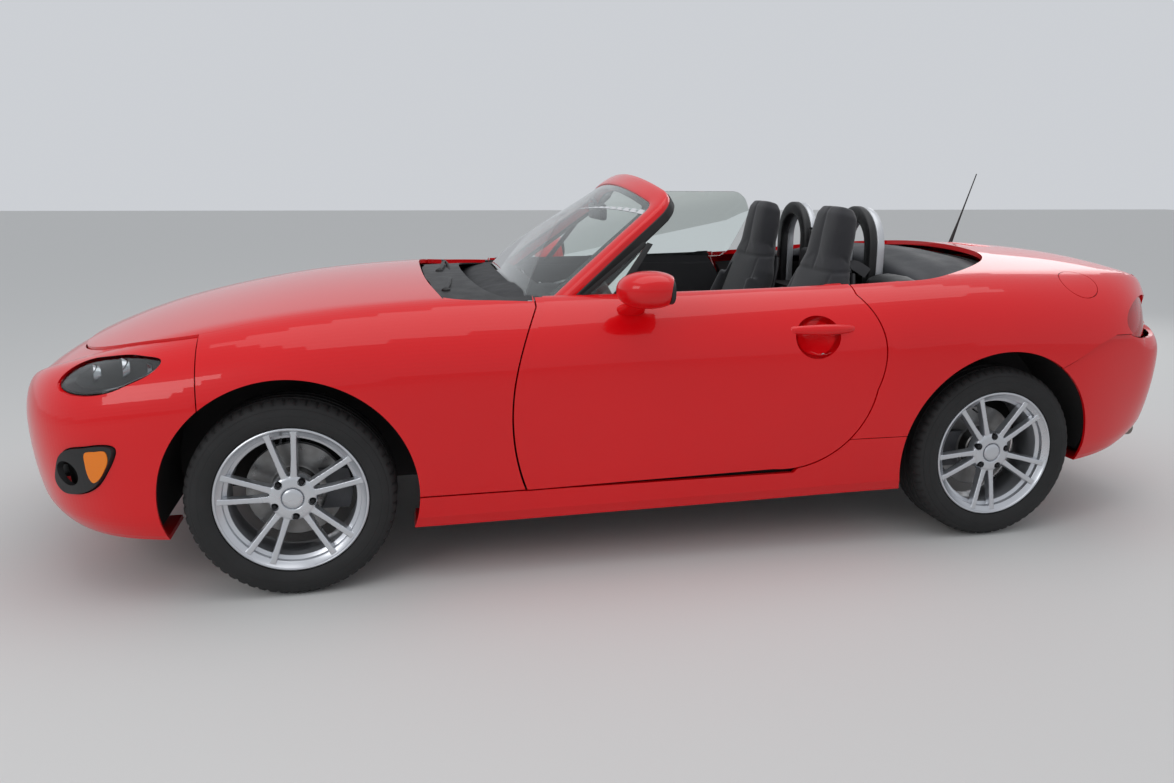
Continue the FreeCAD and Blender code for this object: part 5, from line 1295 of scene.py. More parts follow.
for side, tag in ((-1, "left"), (1, "right")):
    body = "door_" + tag
    base_y = [beside(HANDLE[0] + d, HANDLE[2], -1)[0].y for d in (-0.112, 0.112)]
    run = [(HANDLE[0] - 0.116, base_y[0] + 0.010, HANDLE[2]), (HANDLE[0] - 0.108, base_y[0] - 0.006, HANDLE[2]),
           (HANDLE[0] - 0.08, base_y[0] - 0.018, HANDLE[2] + 0.001), (HANDLE[0], HANDLE[1] - 0.014,
                                                                      HANDLE[2] + 0.002),
           (HANDLE[0] + 0.08, base_y[1] - 0.018, HANDLE[2] + 0.001), (HANDLE[0] + 0.108, base_y[1] - 0.006,
                                                                      HANDLE[2]),
           (HANDLE[0] + 0.116, base_y[1] + 0.010, HANDLE[2])]
    bar = tube("handle_bar_" + tag, run, [0.010, 0.0125, 0.0150, 0.0160, 0.0150, 0.0125, 0.010], 20, flat=1.1,
               count=60)
    lock_spot = beside(HANDLE[0] + 0.006, HANDLE[2] - 0.083, -1)
    lock = bowl("door_lock_" + tag, [mm(i, j) for i, j in ((0, 1.2), (3, 1.4), (7.6, 1.2), (8.4, -1), (8.4, -6),
                                                           (0, -6))],
                lock_spot[0], lock_spot[1], 32)
    bpy.ops.object.select_all(action="DESELECT")
    bpy.ops.mesh.primitive_uv_sphere_add(segments=96, ring_count=64)
    head = bpy.context.object
    head.name = head.data.name = "mirror_shell_" + tag
    for v in head.data.vertices:
        length = v.co.length
        n = v.co / length
        scale = sum(abs(c) ** MIRROR_POWER for c in n) ** (-1 / MIRROR_POWER)
        p = n * scale
        v.co = Vector((p.x * 0.096 + MIRROR[0], p.y * 0.090 + MIRROR[1], p.z * 0.0565 + MIRROR[2] - 0.006 * p.y))
    back = block_cutter("mirror_back", MIRROR[0] + 0.066, 0.2, -1.1, -0.7, 0.7, 1.1)
    hollow = prism("mirror_hollow", mirror_oval(0.050, 0.079, 0.043), (0.2, 0, 0))
    carve(head, back, hollow)
    soften(head, 0.0012, 2, angle=45, limit=40)
    foot_rings = []
    for t in np.linspace(0, 1, 14):
        flare = (1 - t) ** 2
        centre = Vector((-0.148 + 0.016 * t, -0.752 - 0.135 * t, 0.812 + 0.068 * t))
        half_x, half_z = 0.030 + 0.028 * flare, 0.016 + 0.020 * flare
        foot_rings.append([centre + Vector((half_x * math.cos(a), 0, half_z * math.sin(a)))
                           for a in turns(32)])
    foot = soften(swept("mirror_foot_" + tag, foot_rings), angle=60)
    rim = prism("mirror_rim_" + tag, mirror_oval(0.0515, 0.0785, 0.0425), (0.012, 0, 0))
    skin_cutters.remove(rim)
    plate = prism("mirror_glass_" + tag, mirror_oval(0.0632, 0.072, 0.037), (0.0012, 0, 0))
    skin_cutters.remove(plate)
    for piece, material, slot, stands_for in (
            (bar, red_paint, "red_paint", ()), (lock, chrome, "black_plastic", ()),
            (head, red_paint, "red_paint", ["mirror_" + tag]), (foot, red_paint, "red_paint", ()),
            (rim, black_plastic, "black_plastic", ()), (plate, chrome, "clear_glass", ())):
        if side > 0:
            other_side_only(piece, piece.name)
        fit(piece, material, body, stands_for)

# Antenna: a stiff tapered mast in black plastic on a small round foot, screwed into the rear deck
# and raked backwards.
mast_foot = above(1.800, 0.606)[0]
mast_way = Vector((0.32, 0, 0.95)).normalized()
mast = tube("antenna_mast", [mast_foot + mast_way * t for t in (-0.005, 0.02, 0.05, 0.15, 0.30, 0.395)],
            [0.0105, 0.0085, 0.0048, 0.0036, 0.0028, 0.0026], 16, up=(0, 1, 0), count=40)
fit(mast, black_plastic, stands_for=["antenna"])

# Doors' inner side: a painted box behind the skin, a moulded trim card with an armrest and a grab
# handle, a rubber strip along the belt, and the glass: fixed quarter panes and the raised right pane.
cabin_plastic = finish("cabin_plastic", "1E1E20", 0.66, dark="262629", patch=18.0, grain=0.00012,
                       grain_scale=1100.0,
                       uneven=0.06)
satin_silver = finish("satin_silver", "B4B6B9", 0.34, metal=0.9, dark="A0A3A6", patch=25.0, uneven=0.05)
side_glass = glass_look("side_glass", "EEF5F2")


def side_core(name, x0, x1, first, last, inset, plane):
    """Solid between the body's skin, set in a little, and an upright plane inside it."""
    surface, normals = body_form.surface, body_form.normals
    picked = np.where((surface[:, 0, 0] > x0) & (surface[:, 0, 0] < x1))[0]
    outer = (surface[picked, first:last + 1] - normals[picked, first:last + 1] * inset) * mirror
    for row in outer:
        above_plane = row[:, 1] > plane - 0.0006
        if above_plane.any():
            edge = np.where(~above_plane)[0][0]
            row[:edge, 2] = row[edge, 2]
            row[:edge, 1] = plane - 0.0006
    inner = outer.copy()
    inner[:, :, 1] = plane
    rows, columns = outer.shape[:2]
    points = np.concatenate([outer.reshape(-1, 3), inner.reshape(-1, 3)])
    total = rows * columns
    top = grid_faces(rows, columns)
    made = new_object(name, points, top.tolist() + (top[:, ::-1] + total).tolist() + border_faces(rows, columns))
    outward(made)
    return made


def pane_loop(points, corner=None, cut=0.0):
    """Side outline, with one corner rounded."""
    points = [Vector(mm(*p)) for p in points]
    out = []
    for i, p in enumerate(points):
        if corner is not None and i == corner:
            a = p + (points[i - 1] - p).normalized() * cut
            b = p + (points[(i + 1) % len(points)] - p).normalized() * cut
            out += [a.lerp(p, t).lerp(p.lerp(b, t), t) for t in np.linspace(0, 1, 16)]
        else:
            out.append(p)
    return out


def leaning_pane(name, loop, side, thick=0.0045, off=0.0):
    """Flat pane from a side outline, leaning inwards from the belt, clear of the body below it."""
    turn = Matrix.Rotation(math.radians(-16), 4, "X")
    place = Matrix.Translation((0, -0.717, 0.848)) @ turn
    near = [place @ Vector((p.x, off, p.y - 0.848)) for p in loop]
    far = [place @ Vector((p.x, off + thick, p.y - 0.848)) for p in loop]
    count = len(loop)
    made = new_object(name, near + far, [list(range(count)), list(range(count, 2 * count))]
                      + [[i, (i + 1) % count, count + (i + 1) % count, count + i] for i in range(count)])
    outward(made)
    if side > 0:
        other_side_only(made, name)
    return soften(made, 0.0007, 2, limit=50)


for side, tag in ((-1, "left"), (1, "right")):
    body = "door_" + tag
    core = side_core("door_box_" + tag, -0.50, 0.70, 24, SIDE_COUNT - 4, 0.0184, -0.706)
    carve(core, side_cutter("core_keep", door_outline(-0.024), 0.6), operation="INTERSECT")
    carve(core, cup_cutter())
    card = side_core("door_card_" + tag, -0.50, 0.70, 26, SIDE_COUNT - 8, 0.030, -0.7002)
    carve(card, block_cutter("card_band", -0.6, 0.8, -0.7058, -0.6, 0.2, 0.838), operation="INTERSECT")
    carve(card, side_cutter("card_keep", door_outline(-0.034), 0.6), operation="INTERSECT")
    rest = slab("door_armrest_" + tag, -0.30, 0.36, -0.7001, -0.656, 0.655, 0.712, 0.014, 5)
    grab = tube("door_grab_" + tag, [(-0.16, -0.703, 0.735), (-0.15, -0.672, 0.748), (0.02, -0.664, 0.762),
                                     (0.19, -0.672, 0.776), (0.20, -0.703, 0.788)], 0.0095, 14, count=40)
    lever_cup = slab("door_lever_" + tag, -0.36, -0.275, -0.7001, -0.690, 0.735, 0.775, 0.005, 3)
    speaker = bowl("door_speaker_" + tag, [mm(i, j) for i, j in ((0, 7), (30, 6.5), (66, 5), (72, 2), (74, 0),
                                                                 (0, 0))],
                   (-0.30, -0.7001, 0.50), (0, 1, 0), 64)
    belt_points = []
    for x in np.linspace(-0.455, 0.60, 60):
        spot, normal = above(x, -0.7175)
        belt_points.append(Vector((spot.x, -0.7125, spot.z + 0.0055)))
    belt = tube("belt_strip_" + tag, belt_points, 0.0065, 12, flat=0.75)
    belt_edge = tube("belt_trim_" + tag, [p + Vector((0, -0.0070, 0.0030)) for p in belt_points], 0.0022, 10)
    for piece, material, slot, stands_for in (
            (soften(core, angle=40), red_paint, "red_paint", ["door_" + tag]),
            (soften(card, 0.0015, 2, limit=50), cabin_plastic, "cabin_plastic", ()),
            (rest, cabin_plastic, "cabin_plastic", ()), (grab, satin_silver, "alloy", ()),
            (lever_cup, satin_silver, "alloy", ()), (speaker, cabin_plastic, "cabin_plastic", ()),
            (belt, soft_rubber, "black_plastic", ()), (belt_edge, satin_silver, "black_plastic", ())):
        if side > 0:
            other_side_only(piece, piece.name)
        fit(piece, material, body, stands_for)
    core.data.materials.append(cabin_plastic)
    for face in core.data.polygons:
        face.material_index = int(max(abs(core.data.vertices[i].co.y) for i in face.vertices) < 0.7075)
    quarter_glass = pane_loop(((-300, 852), (-196, 852), (-66, 1030), (-72, 1034)))
    fit(leaning_pane("quarter_pane_" + tag, quarter_glass, side), side_glass, body,
        ["door_glass_" + tag])
    border = pane_loop(((-312, 850), (-292, 850), (-66, 1027), (-68, 1038), (-76, 1037)))
    fit(leaning_pane("quarter_frame_" + tag, border, side, 0.010, -0.003), soft_rubber, body)
    post_loop = pane_loop(((-197, 850), (-170, 850), (-44, 1030), (-62, 1036)))
    fit(leaning_pane("quarter_post_" + tag, post_loop, side, 0.011, -0.003), black_plastic, body)
    foot_loop = pane_loop(((-318, 850), (-172, 850), (-176, 862), (-300, 862)))
    fit(leaning_pane("quarter_foot_" + tag, foot_loop, side, 0.010, -0.003), soft_rubber, body)
raised = pane_loop(((-168, 852), (655, 868), (700, 900), (778, 1080), (735, 1180), (75, 1180), (-30, 1044)), 4,
                   0.06)
fit(leaning_pane("raised_pane_right", raised, 1), side_glass, "door_right", ["door_glass_right"])

# Dashboard, steering wheel and console: moulded plastic with a hooded instrument pod, round vents,
# silver rings and a leather rim.
DASH = ((-600, 800), (-560, 832), (-470, 850), (-350, 846), (-296, 800), (-310, 690), (-400, 570), (-600, 560))
dash_loop = round_loop(DASH, 72)
rings = []
for y in np.linspace(-0.694, 0.694, 60):
    bulge = 0.010 * math.exp(-((y + 0.355) / 0.17) ** 4)
    rings.append([(p[0] / 1000, y, min(p[1] / 1000 + (bulge if p[1] > 790 else 0), 0.862)) for p in dash_loop])
dash = soften(swept("dash_top", rings), angle=50)
fit(dash, cabin_plastic, stands_for=["dashboard"])
hood = []
for x, rise, half in ((-0.44, 0.004, 0.10), (-0.40, 0.014, 0.125), (-0.35, 0.020, 0.135), (-0.31, 0.021, 0.138),
                      (-0.296, 0.018, 0.136)):
    hood.append([(x, -0.355 + half * math.cos(t),
                  0.845 + rise * math.sin(t) if math.sin(t) > 0 else 0.845 + 0.055 * math.sin(t))
                 for t in turns(48)])
fit(soften(swept("gauge_hood", hood), angle=50), cabin_plastic)
WHEEL_HUB = Vector((-0.110, -0.355, 0.745))
wheel_axis = Vector((math.cos(math.radians(24)), 0, math.sin(math.radians(24))))
for i, (y, z, r) in enumerate(((-0.415, 0.815, 42), (-0.305, 0.815, 42), (-0.60, 0.785, 38), (0.60, 0.785, 38),
                               (0.07, 0.79, 36), (-0.07, 0.79, 36))):
    ring_profile = [mm(a, b) for a, b in ((r - 4, 0), (r - 4, 5), (r - 1, 7), (r + 2, 5), (r + 2, 0))]
    fit(bowl("dash_ring_%d" % i, ring_profile, (-0.300, y, z), (1, 0, 0.1), 48), satin_silver)
    face_profile = [mm(a, b) for a, b in ((0, 3), (8, 3.2), (9, 2), (r - 3.5, 2), (r - 3.5, 0), (0, 0))]
    fit(bowl("dash_dial_%d" % i, face_profile, (-0.300, y, z), (1, 0, 0.1), 48), gloss_black)
fit(slab("dash_radio", -0.312, -0.296, -0.085, 0.085, 0.665, 0.745, 0.004), gloss_black)
shroud = tube("column_shroud", [WHEEL_HUB + wheel_axis * t for t in (-0.22, -0.16, -0.10, -0.062)],
              [0.046, 0.045, 0.040, 0.034], 32, up=(0, 1, 0))
fit(shroud, cabin_plastic)
for i, way in enumerate((-1, 1)):
    stalk_from = WHEEL_HUB + wheel_axis * -0.085
    stalk = tube("column_stalk_%d" % i, [stalk_from, stalk_from + Vector((-0.005, way * 0.07, 0.01)),
                                         stalk_from + Vector((0.005, way * 0.125, 0.02))], [0.007, 0.006,
                                                 0.008], 12)
    fit(stalk, cabin_plastic)

wheel_turn = wheel_axis.to_track_quat("Z", "Y").to_matrix().to_4x4()
wheel_place = Matrix.Translation(WHEEL_HUB) @ wheel_turn
local_up = wheel_turn.inverted() @ Vector((0, 0, 1))
up_angle = math.atan2(local_up.y, local_up.x)
grip = tube("wheel_grip", [wheel_place @ Vector((0.176 * math.cos(t), 0.176 * math.sin(t), 0))
                           for t in turns(120)], 0.0138, 18, up=wheel_axis,
            closed=True)
fit(grip, finish("wheel_leather", "19191A", 0.55, dark="212122", patch=40.0, grain=0.00008, grain_scale=900.0,
                 uneven=0.08),
    "steering_wheel", ["steering_wheel"])
boss = lathe("wheel_boss", [mm(a, b) for a, b in ((0, 4), (30, 3), (50, -3), (58, -12), (60, -26), (50, -36),
                                                  (0, -36))], 64)
boss.data.transform(wheel_place @ Matrix.Rotation(math.radians(90), 4, "X"))
clean(boss)
fit(soften(boss, angle=45), cabin_plastic, "steering_wheel")
for i, angle in enumerate((90, -90, 180)):
    direction = Vector((math.cos(up_angle + math.radians(angle)), math.sin(up_angle + math.radians(angle)), 0))
    run = [wheel_place @ (direction * d + Vector((0, 0, z))) for d, z in ((0.045, -0.014), (0.09, -0.010),
            (0.14, -0.003), (0.170, 0.0))]
    arm = tube("wheel_arm_%d" % i, run, [0.024, 0.019, 0.015, 0.013], 20, up=wheel_axis, flat=0.42, count=30)
    fit(arm, satin_silver, "steering_wheel")
stem = tube("wheel_stem", [WHEEL_HUB + wheel_axis * t for t in (-0.105, -0.03)], 0.0115, 20, up=(0, 1, 0))
fit(stem, satin_silver, "steering_wheel")

CONSOLE = ((-555, 250), (-555, 545), (-400, 556), (-265, 470), (115, 448), (200, 516), (540, 526), (636, 430),
           (636, 250))
rings = []
for y in (-93, -91, -86, -78, -40, 0, 40, 78, 86, 91, 93):
    drop = 7 * (abs(y) / 93) ** 8
    rings.append([(x / 1000, y / 1000, (z - drop) / 1000) for x, z in
                  [p for a, b in zip(CONSOLE, CONSOLE[1:] + CONSOLE[:1]) for p in
                   [(a[0] + (b[0] - a[0]) * t, a[1] + (b[1] - a[1]) * t) for t in np.linspace(0, 1, 6)[:-1]]]])
console = swept("console_tunnel", rings)
fit(soften(console, 0.004, 3, limit=35), cabin_plastic, stands_for=["centre_console"])
gaiter = []
for t in np.linspace(0, 1, 15):
    r = 0.052 - 0.036 * t + 0.0022 * math.sin(t * 28)
    gaiter.append([(-0.063 - 0.012 * t + r * math.cos(a), r * math.sin(a), 0.459 + 0.062 * t)
                   for a in turns(40)])
fit(soften(swept("lever_gaiter", gaiter), angle=60), cabin_plastic)
fit(tube("lever_rod", [(-0.073, 0, 0.51), (-0.079, 0, 0.555)], 0.0065, 16), satin_silver)
fit(bowl("lever_knob", [mm(a, b) for a, b in ((0, 24), (12, 21), (20, 12), (23, 0), (20, -12), (10, -21),
                                              (0, -22))],
         (-0.082, 0, 0.572), (0, 0, 1), 48), gloss_black)
fit(tube("brake_lever", [(0.26, -0.055, 0.530), (0.16, -0.055, 0.532), (0.02, -0.055, 0.520),
                         (-0.03, -0.055, 0.512)],
         [0.011, 0.012, 0.014, 0.011], 16, count=20), cabin_plastic)

# Seats: cloth-covered foam that puffs between its seams, pressed up by a cloth simulation, with
# sewn piping along the seams and a moulded base and shell.
seat_cloth = finish("seat_cloth", "242427", 0.92, dark="2E2E32", patch=30.0, grain=0.00025, grain_scale=1400.0,
                    uneven=0.05, sheen=0.25)
seat_thread = finish("seat_thread", "4A4A4E", 0.8, dark="3A3A3E", patch=60.0, uneven=0.05)


def soft_block(rows):
    """Rounded block through sections: centre (x, z), half thickness, half width and a lean in degrees."""
    rings = []
    for x, z, thick, wide, lean in rows:
        a = math.radians(lean)
        out = []
        for t in turns(60):
            c, s = math.cos(t), math.sin(t)
            u = thick * math.copysign(abs(c) ** 0.55, c)
            v = wide * math.copysign(abs(s) ** 0.42, s)
            out.append((x + u * math.cos(a), v, z + u * math.sin(a)))
        rings.append(out)
    return swept("seat_block", rings)


def puffed(name, blocks, seams, pressure, cloth_steps=20):
    """Foam piece: merged blocks, remeshed evenly, and blown up between seams that stay in place."""
    body = joined(name, *blocks)
    use(body, "REMESH", mode="VOXEL", voxel_size=0.0065)
    use(body, "SMOOTH", factor=0.5, iterations=6)
    group = body.vertex_groups.new(name="held")
    for v in body.data.vertices:
        near = min((seam(v.co) for seam in seams), default=1)
        weight = 1.0 if near < 0.006 else 0.0
        group.add([v.index], weight, "REPLACE")
        if near < 0.010:
            v.co -= v.normal * 0.004 * (1 - near / 0.010)
    only(body)
    cloth = body.modifiers.new("Cloth", "CLOTH")
    cloth.settings.use_pressure = True
    cloth.settings.uniform_pressure_force = pressure
    cloth.settings.tension_stiffness = 12
    cloth.settings.compression_stiffness = 12
    cloth.settings.shear_stiffness = 8
    cloth.settings.bending_stiffness = 2.0
    cloth.settings.vertex_group_mass = "held"
    cloth.settings.effector_weights.gravity = 0
    cloth.settings.mass = 0.4
    start = np.array([v.co[:] for v in body.data.vertices])
    for step in range(1, cloth_steps + 1):
        bpy.context.scene.frame_set(step)
    settled = body.evaluated_get(bpy.context.evaluated_depsgraph_get()).to_mesh()
    end = np.array([v.co[:] for v in settled.vertices])
    body.evaluated_get(bpy.context.evaluated_depsgraph_get()).to_mesh_clear()
    body.modifiers.remove(cloth)
    bpy.context.scene.frame_set(1)
    move = end - start
    length = np.maximum(np.linalg.norm(move, axis=1), 1e-9)
    limit = 0.012
    move *= (limit * np.tanh(length / limit) / length)[:, None]
    body.data.vertices.foreach_set("co", (start + move).ravel())
    body.data.update()
    use(body, "SMOOTH", factor=0.3, iterations=2)
    body.vertex_groups.clear()
    only(body)
    bpy.ops.object.shade_smooth()
    return body


def back_x(z):
    """Middle of the backrest at a height."""
    return float(np.interp(z, (0.38, 0.62, 0.80, 0.96, 1.13), (0.545, 0.615, 0.672, 0.715, 0.740)))


cushion_rows = [(0.030, 0.345, 0.052, 0.225, 90), (0.075, 0.368, 0.060, 0.238, 88), (0.20, 0.372, 0.058, 0.240, 84),
                (0.34, 0.352, 0.054, 0.238, 84), (0.47, 0.336, 0.052, 0.232, 84), (0.52, 0.335, 0.045, 0.222, 84)]
bolster_rows = [[(x, y0, z, r) for x, y0, z, r in ((0.07, 0.205, 0.395, 0.030), (0.22, 0.212, 0.415, 0.036),
                                                   (0.40, 0.212, 0.405, 0.036), (0.50, 0.200, 0.400, 0.030))]]
back_rows = [(back_x(z) , z, t, w, -14) for z, t, w in
             ((0.40, 0.056, 0.205), (0.46, 0.062, 0.222), (0.60, 0.060, 0.230), (0.74, 0.056, 0.224),
              (0.84, 0.050, 0.198), (0.90, 0.048, 0.160), (0.95, 0.046, 0.132), (1.04, 0.046, 0.122),
              (1.10, 0.042, 0.112), (1.128, 0.028, 0.090))]
wing_rows = [(0.47, 0.180, 0.030), (0.60, 0.196, 0.038), (0.72, 0.194, 0.038), (0.81, 0.172, 0.028)]


def seat_blocks():
    blocks = [soft_block(cushion_rows), soft_block(back_rows)]
    for way in (-1, 1):
        blocks.append(tube("bolster", [(x, way * y, z) for x, y, z, r in bolster_rows[0]],
                           [r for x, y, z, r in bolster_rows[0]], 20, count=24))
        blocks.append(tube("side_wing", [(back_x(z) - 0.048, way * y, z) for z, y, r in wing_rows],
                           [r for z, y, r in wing_rows], 20,
                           up=(0, 1, 0), count=24))
    return blocks


SEAT_SEAMS = [
    lambda p: abs(abs(p.y) - 0.168) if p.z < 0.46 and p.x < 0.50 else 1,
    lambda p: abs(p.x - 0.29) if p.z < 0.45 and abs(p.y) < 0.168 and p.x < 0.5 else 1,
    lambda p: abs(abs(p.y) - (0.150 - 0.05 * max(0, p.z - 0.75))) if 0.46 < p.z < 0.90 and p.x < back_x(p.z) else 1,
    lambda p: abs(p.z - 0.66) if abs(p.y) < 0.150 and 0.46 < p.z and p.x < back_x(p.z) else 1,
    lambda p: abs(p.z - 0.905) if p.x < back_x(p.z) + 0.1 else 1,
    lambda p: abs(p.y) if p.z > 0.905 and p.x < back_x(p.z) else 1,
]
seat = puffed("seat_foam_left", seat_blocks(), SEAT_SEAMS, 4.0)
seat.data.transform(Matrix.Translation((0, -0.355, 0)))
seat_right = placed_copy(seat, "seat_foam_right", (0, 0.71, 0))
for foam, tag in ((seat, "left"), (seat_right, "right")):
    fit(foam, seat_cloth, stands_for=["seat_" + tag])
    y = -0.355 if tag == "left" else 0.355
    base = slab("seat_base_" + tag, 0.07, 0.56, y - 0.215, y + 0.215, 0.262, 0.318, 0.02, 4)
    fit(base, cabin_plastic)
    shell_rows = [(back_x(z) + 0.052, z, 0.010, w, -14) for z, w in ((0.42, 0.19), (0.55, 0.21), (0.72, 0.205),
                                                                     (0.86, 0.17), (0.90, 0.14))]
    shell = soften(soft_block(shell_rows), angle=50)
    shell.name = shell.data.name = "seat_shell_" + tag
    shell.data.transform(Matrix.Translation((0, y, 0)))
    fit(shell, cabin_plastic)
    for k, way in enumerate((-1, 1)):
        rail = slab("seat_rail_%s_%d" % (tag, k), 0.09, 0.56, y + way * 0.19 - 0.018, y + way * 0.19 + 0.018,
                    0.2155, 0.266, 0.004)
        fit(rail, black_steel)
    tree = BVHTree.FromObject(foam, bpy.context.evaluated_depsgraph_get())
    for k, way in enumerate((-1, 1)):
        run = []
        for z in np.linspace(0.50, 0.88, 40):
            hit = tree.ray_cast(Vector((0.0, y + way * (0.150 - 0.05 * max(0, z - 0.75)), z)), Vector((1, 0, 0)))[0]
            if hit:
                run.append(hit + Vector((0.0008, 0, 0)))
        if len(run) > 5:
            fit(tube("seat_piping_%s_%d" % (tag, k), run, 0.0016, 8, up=(0, 1, 0)), seat_thread)
    run = []
    for z in np.linspace(0.93, 1.10, 24):
        hit = tree.ray_cast(Vector((0.0, y, z)), Vector((1, 0, 0)))[0]
        if hit:
            run.append(hit + Vector((0.0006, 0, 0)))
    fit(tube("seat_stitch_" + tag, run, 0.0013, 8, up=(0, 1, 0)), seat_thread)

# Roll hoops and rear trim: black moulded covers with a silver rear face on steel hoops, a moulded
# console with a lid between them, a mesh wind screen, corner covers and the seat belts.
hoop_black = finish("hoop_plastic", "1A1A1B", 0.48, dark="232324", patch=22.0, grain=0.00006, grain_scale=1600.0,
                    uneven=0.05)
hoop_silver = finish("hoop_silver", "D4D6D9", 0.38, metal=0.6, dark="C6C8CB", patch=20.0, uneven=0.06)


def hoop_path(half, top, base, count):
    side = [(-half, z) for z in np.linspace(base, top - half, 14)[:-1]]
    arc = [(-half * math.cos(t), top - half + half * math.sin(t)) for t in np.linspace(0, math.pi, count)]
    return side + arc + [(half, z) for z in np.linspace(top - half, base, 14)[1:]]


for tag, y in (("left", -0.29), ("right", 0.29)):
    for label, x0, x1, material, slot in (("front", 0.835, 0.866, hoop_black, "hoop_plastic"),
                                          ("rear", 0.8662, 0.897, hoop_silver, "hoop_plastic")):
        trim = 0.0 if label == "front" else 0.004
        rings = []
        outer = hoop_path(0.150 - trim, 1.130 - trim, 0.7806, 40)
        inner = hoop_path(0.098 + trim, 1.078 - trim, 0.7806, 40)
        for (oy, oz), (iy, iz) in zip(outer, inner):
            cross = []
            for share, depth in ((0, 0.5), (0, 0.82), (0.06, 0.95), (0.18, 1), (0.5, 1), (0.82, 1), (0.94, 0.95),
                                 (1, 0.82),
                                 (1, 0.5), (1, 0.18), (0.94, 0.05), (0.82, 0), (0.5, -0.0), (0.18, 0), (0.06,
                                         0.05), (0, 0.18)):
                cross.append((x0 + (x1 - x0) * depth, y + oy + (iy - oy) * share, oz + (iz - oz) * share))
            rings.append(cross)
        fit(soften(swept("hoop_%s_%s" % (label, tag), rings), angle=40), material,
            stands_for=["roll_hoops"])
middle_trim = slab("hoop_console", 0.815, 0.893, -0.1392, 0.1392, 0.7812, 0.948, 0.016, 5)
fit(middle_trim, cabin_plastic, stands_for=["rear_trim"])
fit(slab("hoop_console_lid", 0.8115, 0.8155, -0.085, 0.085, 0.83, 0.91, 0.0018), gloss_black)
screen_bars = []
for z in np.linspace(0.952, 1.022, 8):
    screen_bars.append(tube("bar", [(0.858, -0.139, z), (0.858, 0.139, z)], 0.0022, 8))
for y in np.linspace(-0.13, 0.13, 14):
    screen_bars.append(tube("bar", [(0.858, y, 0.947), (0.858, y, 1.026)], 0.0022, 8, up=(0, 1, 0)))
screen_bars.append(tube("bar", [(0.858, -0.139, 1.026), (0.858, 0.139, 1.026)], 0.004, 10))
fit(joined("wind_screen", *screen_bars), black_plastic)
for side, tag in ((-1, "left"), (1, "right")):
    corner_rings = []
    for x, y_in, y_out, top in ((0.802, 0.482, 0.700, 0.872), (0.812, 0.481, 0.7045, 0.886), (0.84, 0.481, 0.7055,
            0.896),
                                (0.88, 0.481, 0.7055, 0.899), (0.905, 0.482, 0.7045, 0.896), (0.922, 0.484, 0.702,
                                        0.886)):
        base = 0.7812
        corner_rings.append([(x, side * y_in, base), (x, side * y_in, top - 0.016), (x, side * (y_in + 0.006),
                top - 0.005),
                             (x, side * (y_in + 0.018), top), (x, side * (y_in + y_out) / 2, top + 0.001),
                             (x, side * (y_out - 0.02), top - 0.012), (x, side * (y_out - 0.006), top - 0.020),
                             (x, side * y_out, top - 0.032), (x, side * y_out, base)])
    cover = soften(swept("corner_cover_" + tag, corner_rings), 0.003, 2, angle=50, limit=50)
    fit(cover, black_plastic, stands_for=["rear_trim"])
    webbing = [(0.80, side * 0.50, 0.90), (0.735, side * 0.475, 0.93), (0.69, side * 0.47, 0.895),
               (0.60, side * 0.475, 0.76),
               (0.53, side * 0.50, 0.60), (0.47, side * 0.60, 0.43), (0.47, side * 0.62, 0.30)]
    belt = tube("belt_webbing_" + tag, webbing, 0.0012, 12, up=(1, 0, 0.2), flat=18, count=60)
    fit(belt, finish("belt_webbing_" + tag, "29292B", 0.85, dark="343436", patch=50.0, grain=0.0001,
                     grain_scale=1500.0))
    fit(slab("belt_tongue_" + tag, 0.512, 0.520, side * 0.512 - 0.024, side * 0.512 + 0.024, 0.60, 0.655, 0.003),
        chrome)

# Folded soft top: coated vinyl cloth, folded and laid in its well behind the seats. The shell that
# shows has soft folds across it and a turned edge.
top_vinyl = finish("top_vinyl", "1F2024", 0.62, dark="282A2F", patch=9.0, grain=0.0002, grain_scale=700.0,
                   uneven=0.08)
TOP_ROWS = np.array([(912, 668, 858, 905), (930, 688, 872, 940), (990, 668, 880, 958), (1060, 640, 889, 963),
                     (1130, 590, 897, 962), (1190, 545, 904, 957), (1245, 482, 910, 950), (1290, 420, 914, 942),
                     (1322, 340, 919, 936), (1336, 250, 915, 926)], float) / 1000
stations = np.linspace(0, len(TOP_ROWS) - 1, 90)
rows = spline(np.arange(len(TOP_ROWS), dtype=float), TOP_ROWS, stations)


def top_ring(row, down):
    x, half, edge, top = row
    out = []
    for t in np.linspace(-1, 1, 81):
        y = half * math.sin(t * math.pi / 2)
        rise = (top - edge) * (1 - (abs(y) / half) ** 2.2)
        fold = (0.0016 * math.sin(x * 42 + 1.5 * abs(y)) * (1 - (abs(y) / half) ** 4)
                + 0.0006 * math.sin(y * 17 + x * 9))
        z = edge + rise + fold - down
        if abs(t) > 0.94:
            z -= (abs(t) - 0.94) / 0.06 * 0.040
        out.append((x, y, z))
    return out


outer = [top_ring(row, 0.0) for row in rows]
inner = [top_ring(row, 0.004) for row in rows]
points = [p for ring in outer + inner for p in ring]
columns, row_count = 81, len(rows)
top_faces = grid_faces(row_count, columns)
total = row_count * columns
soft_top = new_object("soft_top_shell", points, top_faces.tolist() + (top_faces[:, ::-1] + total).tolist()
                      + border_faces(row_count, columns))
outward(soft_top)
only(soft_top)
bpy.ops.object.shade_smooth()
fit(soft_top, top_vinyl, stands_for=["soft_top"])

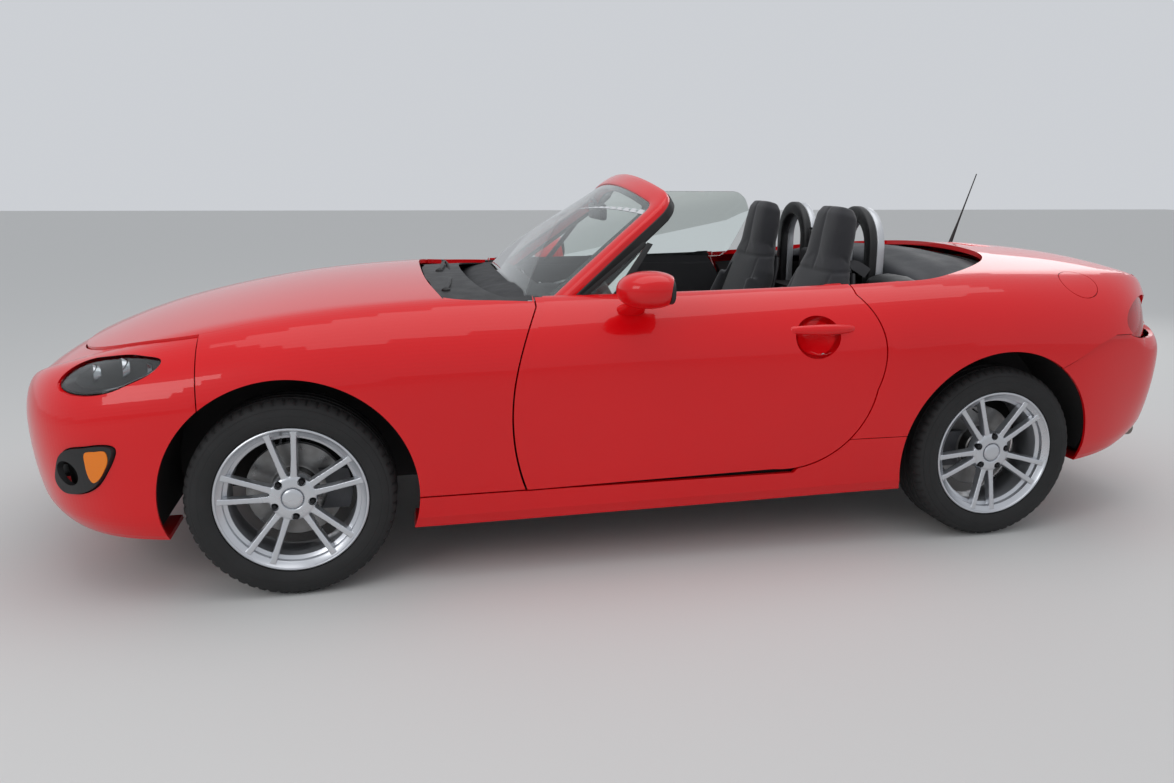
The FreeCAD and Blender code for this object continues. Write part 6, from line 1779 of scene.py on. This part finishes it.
# Pieces that keep their CAD shape: coated steel structure, cast suspension arms, steel exhaust, the
# engine block in cast alloy, and the black grille and plate bracket.
dark_underbody = finish("dark_underbody", "1D1D1F", 0.75, dark="2A2928", patch=7.0, grain=0.0002,
                        grain_scale=500.0, uneven=0.08)
cast_arms = finish("cast_arms", "5B5C5E", 0.55, metal=0.7, dark="46464A", patch=18.0, grain=0.0002,
                   grain_scale=700.0, uneven=0.08)
exhaust_steel = finish("exhaust_steel", "8A8580", 0.38, metal=0.9, dark="6F665C", patch=8.0, uneven=0.1)
engine_alloy = finish("engine_alloy", "6E7072", 0.5, metal=0.8, dark="565859", patch=12.0, grain=0.0002,
                      grain_scale=600.0, uneven=0.08)
for names, material in ((("floor_pan", "front_structure", "rear_structure"), dark_underbody),
                        (("knuckle_fl", "knuckle_fr", "front_suspension", "rear_suspension"), cast_arms),
                        (("exhaust",), exhaust_steel), (("engine_block",), engine_alloy),
                        (("grille", "plate_bracket"), black_plastic)):
    for name in names:
        coat_with(bpy.data.objects[name], material)

for cutter in skin_cutters:
    bpy.data.objects.remove(cutter)

# Floor, light and camera: a plain pale studio floor, soft lamps overhead and in front, and the
# photograph's viewpoint.
bpy.ops.object.select_all(action="DESELECT")
bpy.ops.mesh.primitive_plane_add(size=60, location=(0, 0, 0))
floor = bpy.context.object
floor.name = "studio_floor"
coat_with(floor, finish("studio_floor", "D2D2D0", 0.85))

world = bpy.data.worlds.new("studio")
bpy.context.scene.world = world
world.use_nodes = True
sky = world.node_tree.nodes["Background"]
sky.inputs["Color"].default_value = (0.92, 0.95, 1.0, 1)
sky.inputs["Strength"].default_value = 0.66


def lamp(name, location, target, size, power):
    data = bpy.data.lights.new(name, "AREA")
    data.shape = "RECTANGLE"
    data.size, data.size_y = size
    data.energy = power
    made = bpy.data.objects.new(name, data)
    bpy.context.scene.collection.objects.link(made)
    made.location = location
    made.rotation_euler = (Vector(target) - Vector(location)).to_track_quat("-Z", "Y").to_euler()
    return made


lamp("overhead_lamp", (0.3, -0.6, 4.6), (0, 0, 0), (6.0, 3.6), 70)
lamp("front_lamp", (-4.6, -4.2, 3.2), (-0.5, 0, 0.5), (3.0, 2.2), 55)
lamp("rear_lamp", (4.8, 3.6, 3.0), (0.5, 0, 0.6), (3.0, 2.2), 30)

camera_data = bpy.data.cameras.new("photo_camera")
camera = bpy.data.objects.new("photo_camera", camera_data)
bpy.context.scene.collection.objects.link(camera)
CAMERA_PLACE = (-0.8411, -3.6244, 1.2392)
PITCH, YAW, ROLL = -0.2405, -0.2335, 0.0074
forward = Vector((-math.sin(YAW) * math.cos(PITCH), math.cos(YAW) * math.cos(PITCH), math.sin(PITCH)))
level = Vector((math.cos(YAW), math.sin(YAW), 0))
upright = level.cross(forward)
across = level * math.cos(ROLL) + upright * math.sin(ROLL)
upward = upright * math.cos(ROLL) - level * math.sin(ROLL)
camera.matrix_world = Matrix.Translation(CAMERA_PLACE) @ Matrix((across, upward, -forward)).transposed().to_4x4()
camera_data.sensor_width = 36
camera_data.lens = 36 * 947.67 / 1174
camera_data.shift_x = -(623.1 - 587) / 1174
camera_data.shift_y = (406.8 - 391.5) / 1174
bpy.context.scene.camera = camera
bpy.context.scene.view_settings.view_transform = "Standard"
